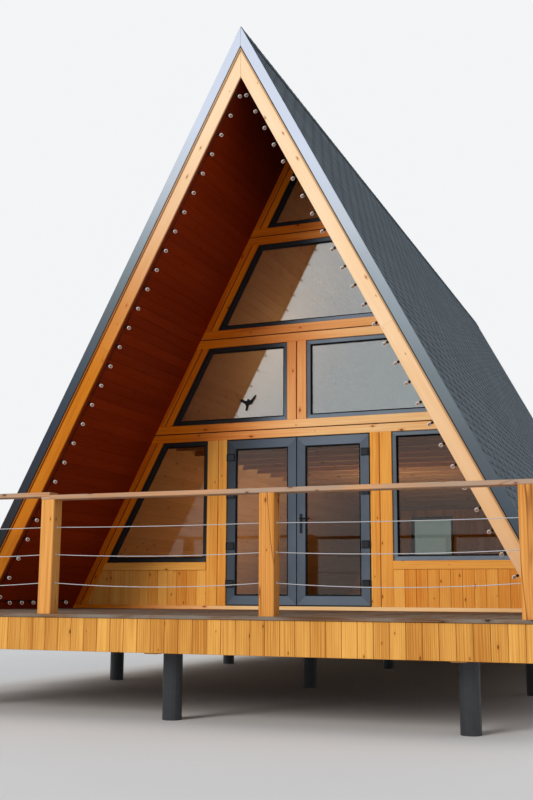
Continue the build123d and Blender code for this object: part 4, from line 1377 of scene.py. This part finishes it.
# %% Rear cladding
REAR_WIDTH, REAR_HEIGHT = 1.000, 1.100
wall_bottom, rear_split = levels("rear_wall_lower")
window_low, window_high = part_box("rear_windows")
offset = window_high.x + FIT - REAR_WIDTH / 2
lower_sill, upper_sill = window_low.z - FIT, window_high.z + FIT - REAR_HEIGHT
rear_outlines = [rectangle(x - REAR_WIDTH / 2, x + REAR_WIDTH / 2, z, z + REAR_HEIGHT)
                 for x, z in ((-offset, lower_sill), (offset, lower_sill), (0.0, upper_sill))]


def clad_round(outline, holes):
    """Strips of an outline, cut where a rectangular hole is."""
    for strip in strips(outline, 0.0):
        x0, x1 = span(strip)
        hits = [hole for hole in holes
                if span(hole)[0] < x1 - 0.001 and span(hole)[1] > x0 + 0.001]
        parts = [strip]
        if hits:
            (left, right), (low, high) = span(hits[0]), span(hits[0], 1)
            inside = between(strip, left, right)
            parts = [clipped(strip, lambda x, z: left - x), clipped(strip, lambda x, z: x - right),
                     clipped(inside, lambda x, z: low - z), clipped(inside, lambda x, z: z - high)]
        yield from (part for part in parts if len(part) >= 3)


rear = Boards("rear_cladding", seed=95)
for z0, z1, holes in ((wall_bottom, rear_split - BOARD_JOINT / 2, rear_outlines[:2]),
                      (rear_split + BOARD_JOINT / 2, apex(INNER), rear_outlines[2:])):
    for part in clad_round(between_slopes(INNER, z0, z1), holes):
        (x0, x1), (low, high) = span(part), span(part, 1)
        upright_board(rear, part, *REAR_WALL, ALONG_Z, min(BOARD_EDGE, (x1 - x0) / 5, (high - low) / 5))
rear.finish(cladding_finish, "cladding_timber", "rear_wall_lower", "rear_wall_upper")

# %% Rear windows
rear_profile = (window_low.y, FRAME_DEPTH, FRAME_FACE)
framed("rear_window_frames", "rear_window_beads", 97, rear_outlines, rear_profile, window_foil_painted_light,
       "window_frame", "rear_windows")
glaze("rear_panes", rear_outlines, rear_profile, rear_tinted_glass, "rear_glass")

# %% [markdown]
# ## String lights
# Clear bulbs in black holders follow both slopes just behind the verge, and a few more run back
# along the foot of the left one. A bulb is a small lathe shape, so its outline is turned about an
# axis that points square off the ceiling. Seen straight on, the glass is clear, and towards its
# rim it is made milky and faintly glowing, a painted highlight, which Layer Weight tells apart.

# %% Places of the lamps
BULB_SPACING = 0.250
FIRST_BULB = 0.200
BULBS_ON_SLOPE = 27
BULBS_ALONG_BASE = 6
OFF_VERGE = OFF_DECK = 0.100
light_y = verge + OFF_VERGE
base_along = (apex(INNER) - deck_top - OFF_DECK) / COS


def under_ceiling(side, along, off, y):
    """Point beside the ceiling: along it from its apex, and off it towards the inside."""
    return on_slope(side, CEILING_APEX + along, INNER + off, y)


lamp_places = [(side, FIRST_BULB + BULB_SPACING * i, light_y)
               for side in (-1, 1) for i in range(BULBS_ON_SLOPE)]
lamp_places = [place for place in lamp_places if place[1] <= base_along]
lamp_places += [(-1, base_along, light_y + BULB_SPACING * (i + 1)) for i in range(BULBS_ALONG_BASE)]

# %% Holders, bulbs and filaments
HOLDER_PROFILE = [(0.0, 0.013), (0.004, 0.0150), (0.012, 0.0150), (0.014, 0.0138),
                  (0.030, 0.0138), (0.033, 0.0150), (0.036, 0.0148)]
BULB_PROFILE = [(0.0363, 0.0110), (0.040, 0.0138), (0.046, 0.0178), (0.053, 0.0200),
                (0.060, 0.0202), (0.067, 0.0188), (0.074, 0.0146), (0.0780, 0.0090), (0.0800, 0.0020)]
GLOW_PROFILE = [(0.040, 0.0016), (0.050, 0.0030), (0.062, 0.0030), (0.066, 0.0010)]
holders, bulbs, filaments = (
    Boards("lamp_" + part, seed) for part, seed in (("holders", 101), ("bulbs", 102), ("filaments", 103)))
for side, along, y in lamp_places:
    foot, inside = under_ceiling(side, along, FIT, y), Vector((-side * COS, 0, -SIN))
    turned(holders, foot, inside, HOLDER_PROFILE)
    turned(bulbs, foot, inside, BULB_PROFILE)
    turned(filaments, foot, inside, GLOW_PROFILE, sides=6)

# %% Finishes of the lamps
black_plastic = foil("black_plastic", (20, 20, 21), roughness=0.45)
recipe = Recipe("bulb_glass", Base_Color=(0.94, 0.92, 0.88, 1.0), IOR=1.45,
                Emission_Color=(1.0, 0.86, 0.80, 1.0))
# The milky, glowing rim is a painted highlight of the bright edge of a clear bulb.
painted_rim_highlight = recipe.remap(recipe.take("LayerWeight", {"Blend": 0.5}, "Facing"), 0.20, 0.55)
recipe.set(Roughness=recipe.remap(recipe.noise(recipe.place(), 80.0), 0.3, 0.7, 0.02, 0.10),
           Transmission_Weight=recipe.maths("SUBTRACT", 1.0, painted_rim_highlight),
           Emission_Strength=recipe.times(painted_rim_highlight, 0.25))
holders.finish(black_plastic, "black_plastic", "string_lights", smooth=True)
bulbs.finish(recipe.material, "bulb_glass", "string_bulbs", smooth=True)
filaments.finish(metal("filament", (236, 214, 176), 0.4, metallic=0.4), "bulb_glass", smooth=True)
print("lamps", len(lamp_places))

# %% [markdown]
# The holders straddle a round cord. A curve with a round bevel is the easy way to a tube, and its
# corner is a few points on a bend. It is turned into a mesh in the end, as every piece is one.

# %% Cord
CORD_RADIUS = 0.004
CORD_TURN = 0.06


def cord(name, route):
    """A round tube along straight runs, with rounded corners, as a curve turned into a mesh."""
    curve = bpy.data.curves.new(name, "CURVE")
    curve.dimensions = "3D"
    curve.bevel_depth = CORD_RADIUS
    curve.bevel_resolution = 2
    curve.use_fill_caps = True
    points = [route[0]]
    for before, here, after in zip(route, route[1:], route[2:]):
        to_last, to_next = (before - here).normalized(), (after - here).normalized()
        for share in (0.0, 0.25, 0.5, 0.75, 1.0):
            start = here + to_last * CORD_TURN * (1 - share)
            points.append(start.lerp(here + to_next * CORD_TURN * share, share))
    points.append(route[-1])
    spline = curve.splines.new("POLY")
    spline.points.add(len(points) - 1)
    for spot, point in zip(spline.points, points):
        spot.co = (*point, 1.0)
    made = bpy.data.objects.new(name + "_curve", curve)
    mesh = bpy.data.meshes.new_from_object(made)
    bpy.data.objects.remove(made)
    for polygon in mesh.polygons:
        polygon.use_smooth = True
    settle(name, mesh, black_plastic, "cabin")


run_end = light_y + BULB_SPACING * (BULBS_ALONG_BASE + 0.5)
ends = [(FIRST_BULB / 2, light_y), (base_along, light_y), (base_along, run_end)]
for name, side, route in (("lamp_cord_left", -1, ends), ("lamp_cord_right", 1, ends[:2])):
    cord(name, [under_ceiling(side, along, CORD_RADIUS + FIT, y) for along, y in route])

# %% [markdown]
# ## The floor of the studio
# A large pale floor takes the shadow of the cabin. It isn't part of the object, so it rides on no body.

# %% Studio floor
recipe = Recipe("studio_floor", Roughness=0.95)
recipe.set(Base_Color=recipe.ramp(recipe.noise(recipe.place(), 0.3), [
    (0.3, (0.80, 0.81, 0.82, 1.0)), (0.7, (0.83, 0.84, 0.85, 1.0))]))
FLOOR_REACH = 150.0
floor_mesh = bpy.data.meshes.new("studio_floor")
floor_corners = rectangle(-FLOOR_REACH, FLOOR_REACH, -FLOOR_REACH, FLOOR_REACH)
floor_mesh.from_pydata([(x, y, 0) for x, y in floor_corners], [], [(0, 1, 2, 3)])
floor_mesh.materials.append(recipe.material)
studio_floor = bpy.data.objects.new("studio_floor", floor_mesh)
scene.collection.objects.link(studio_floor)
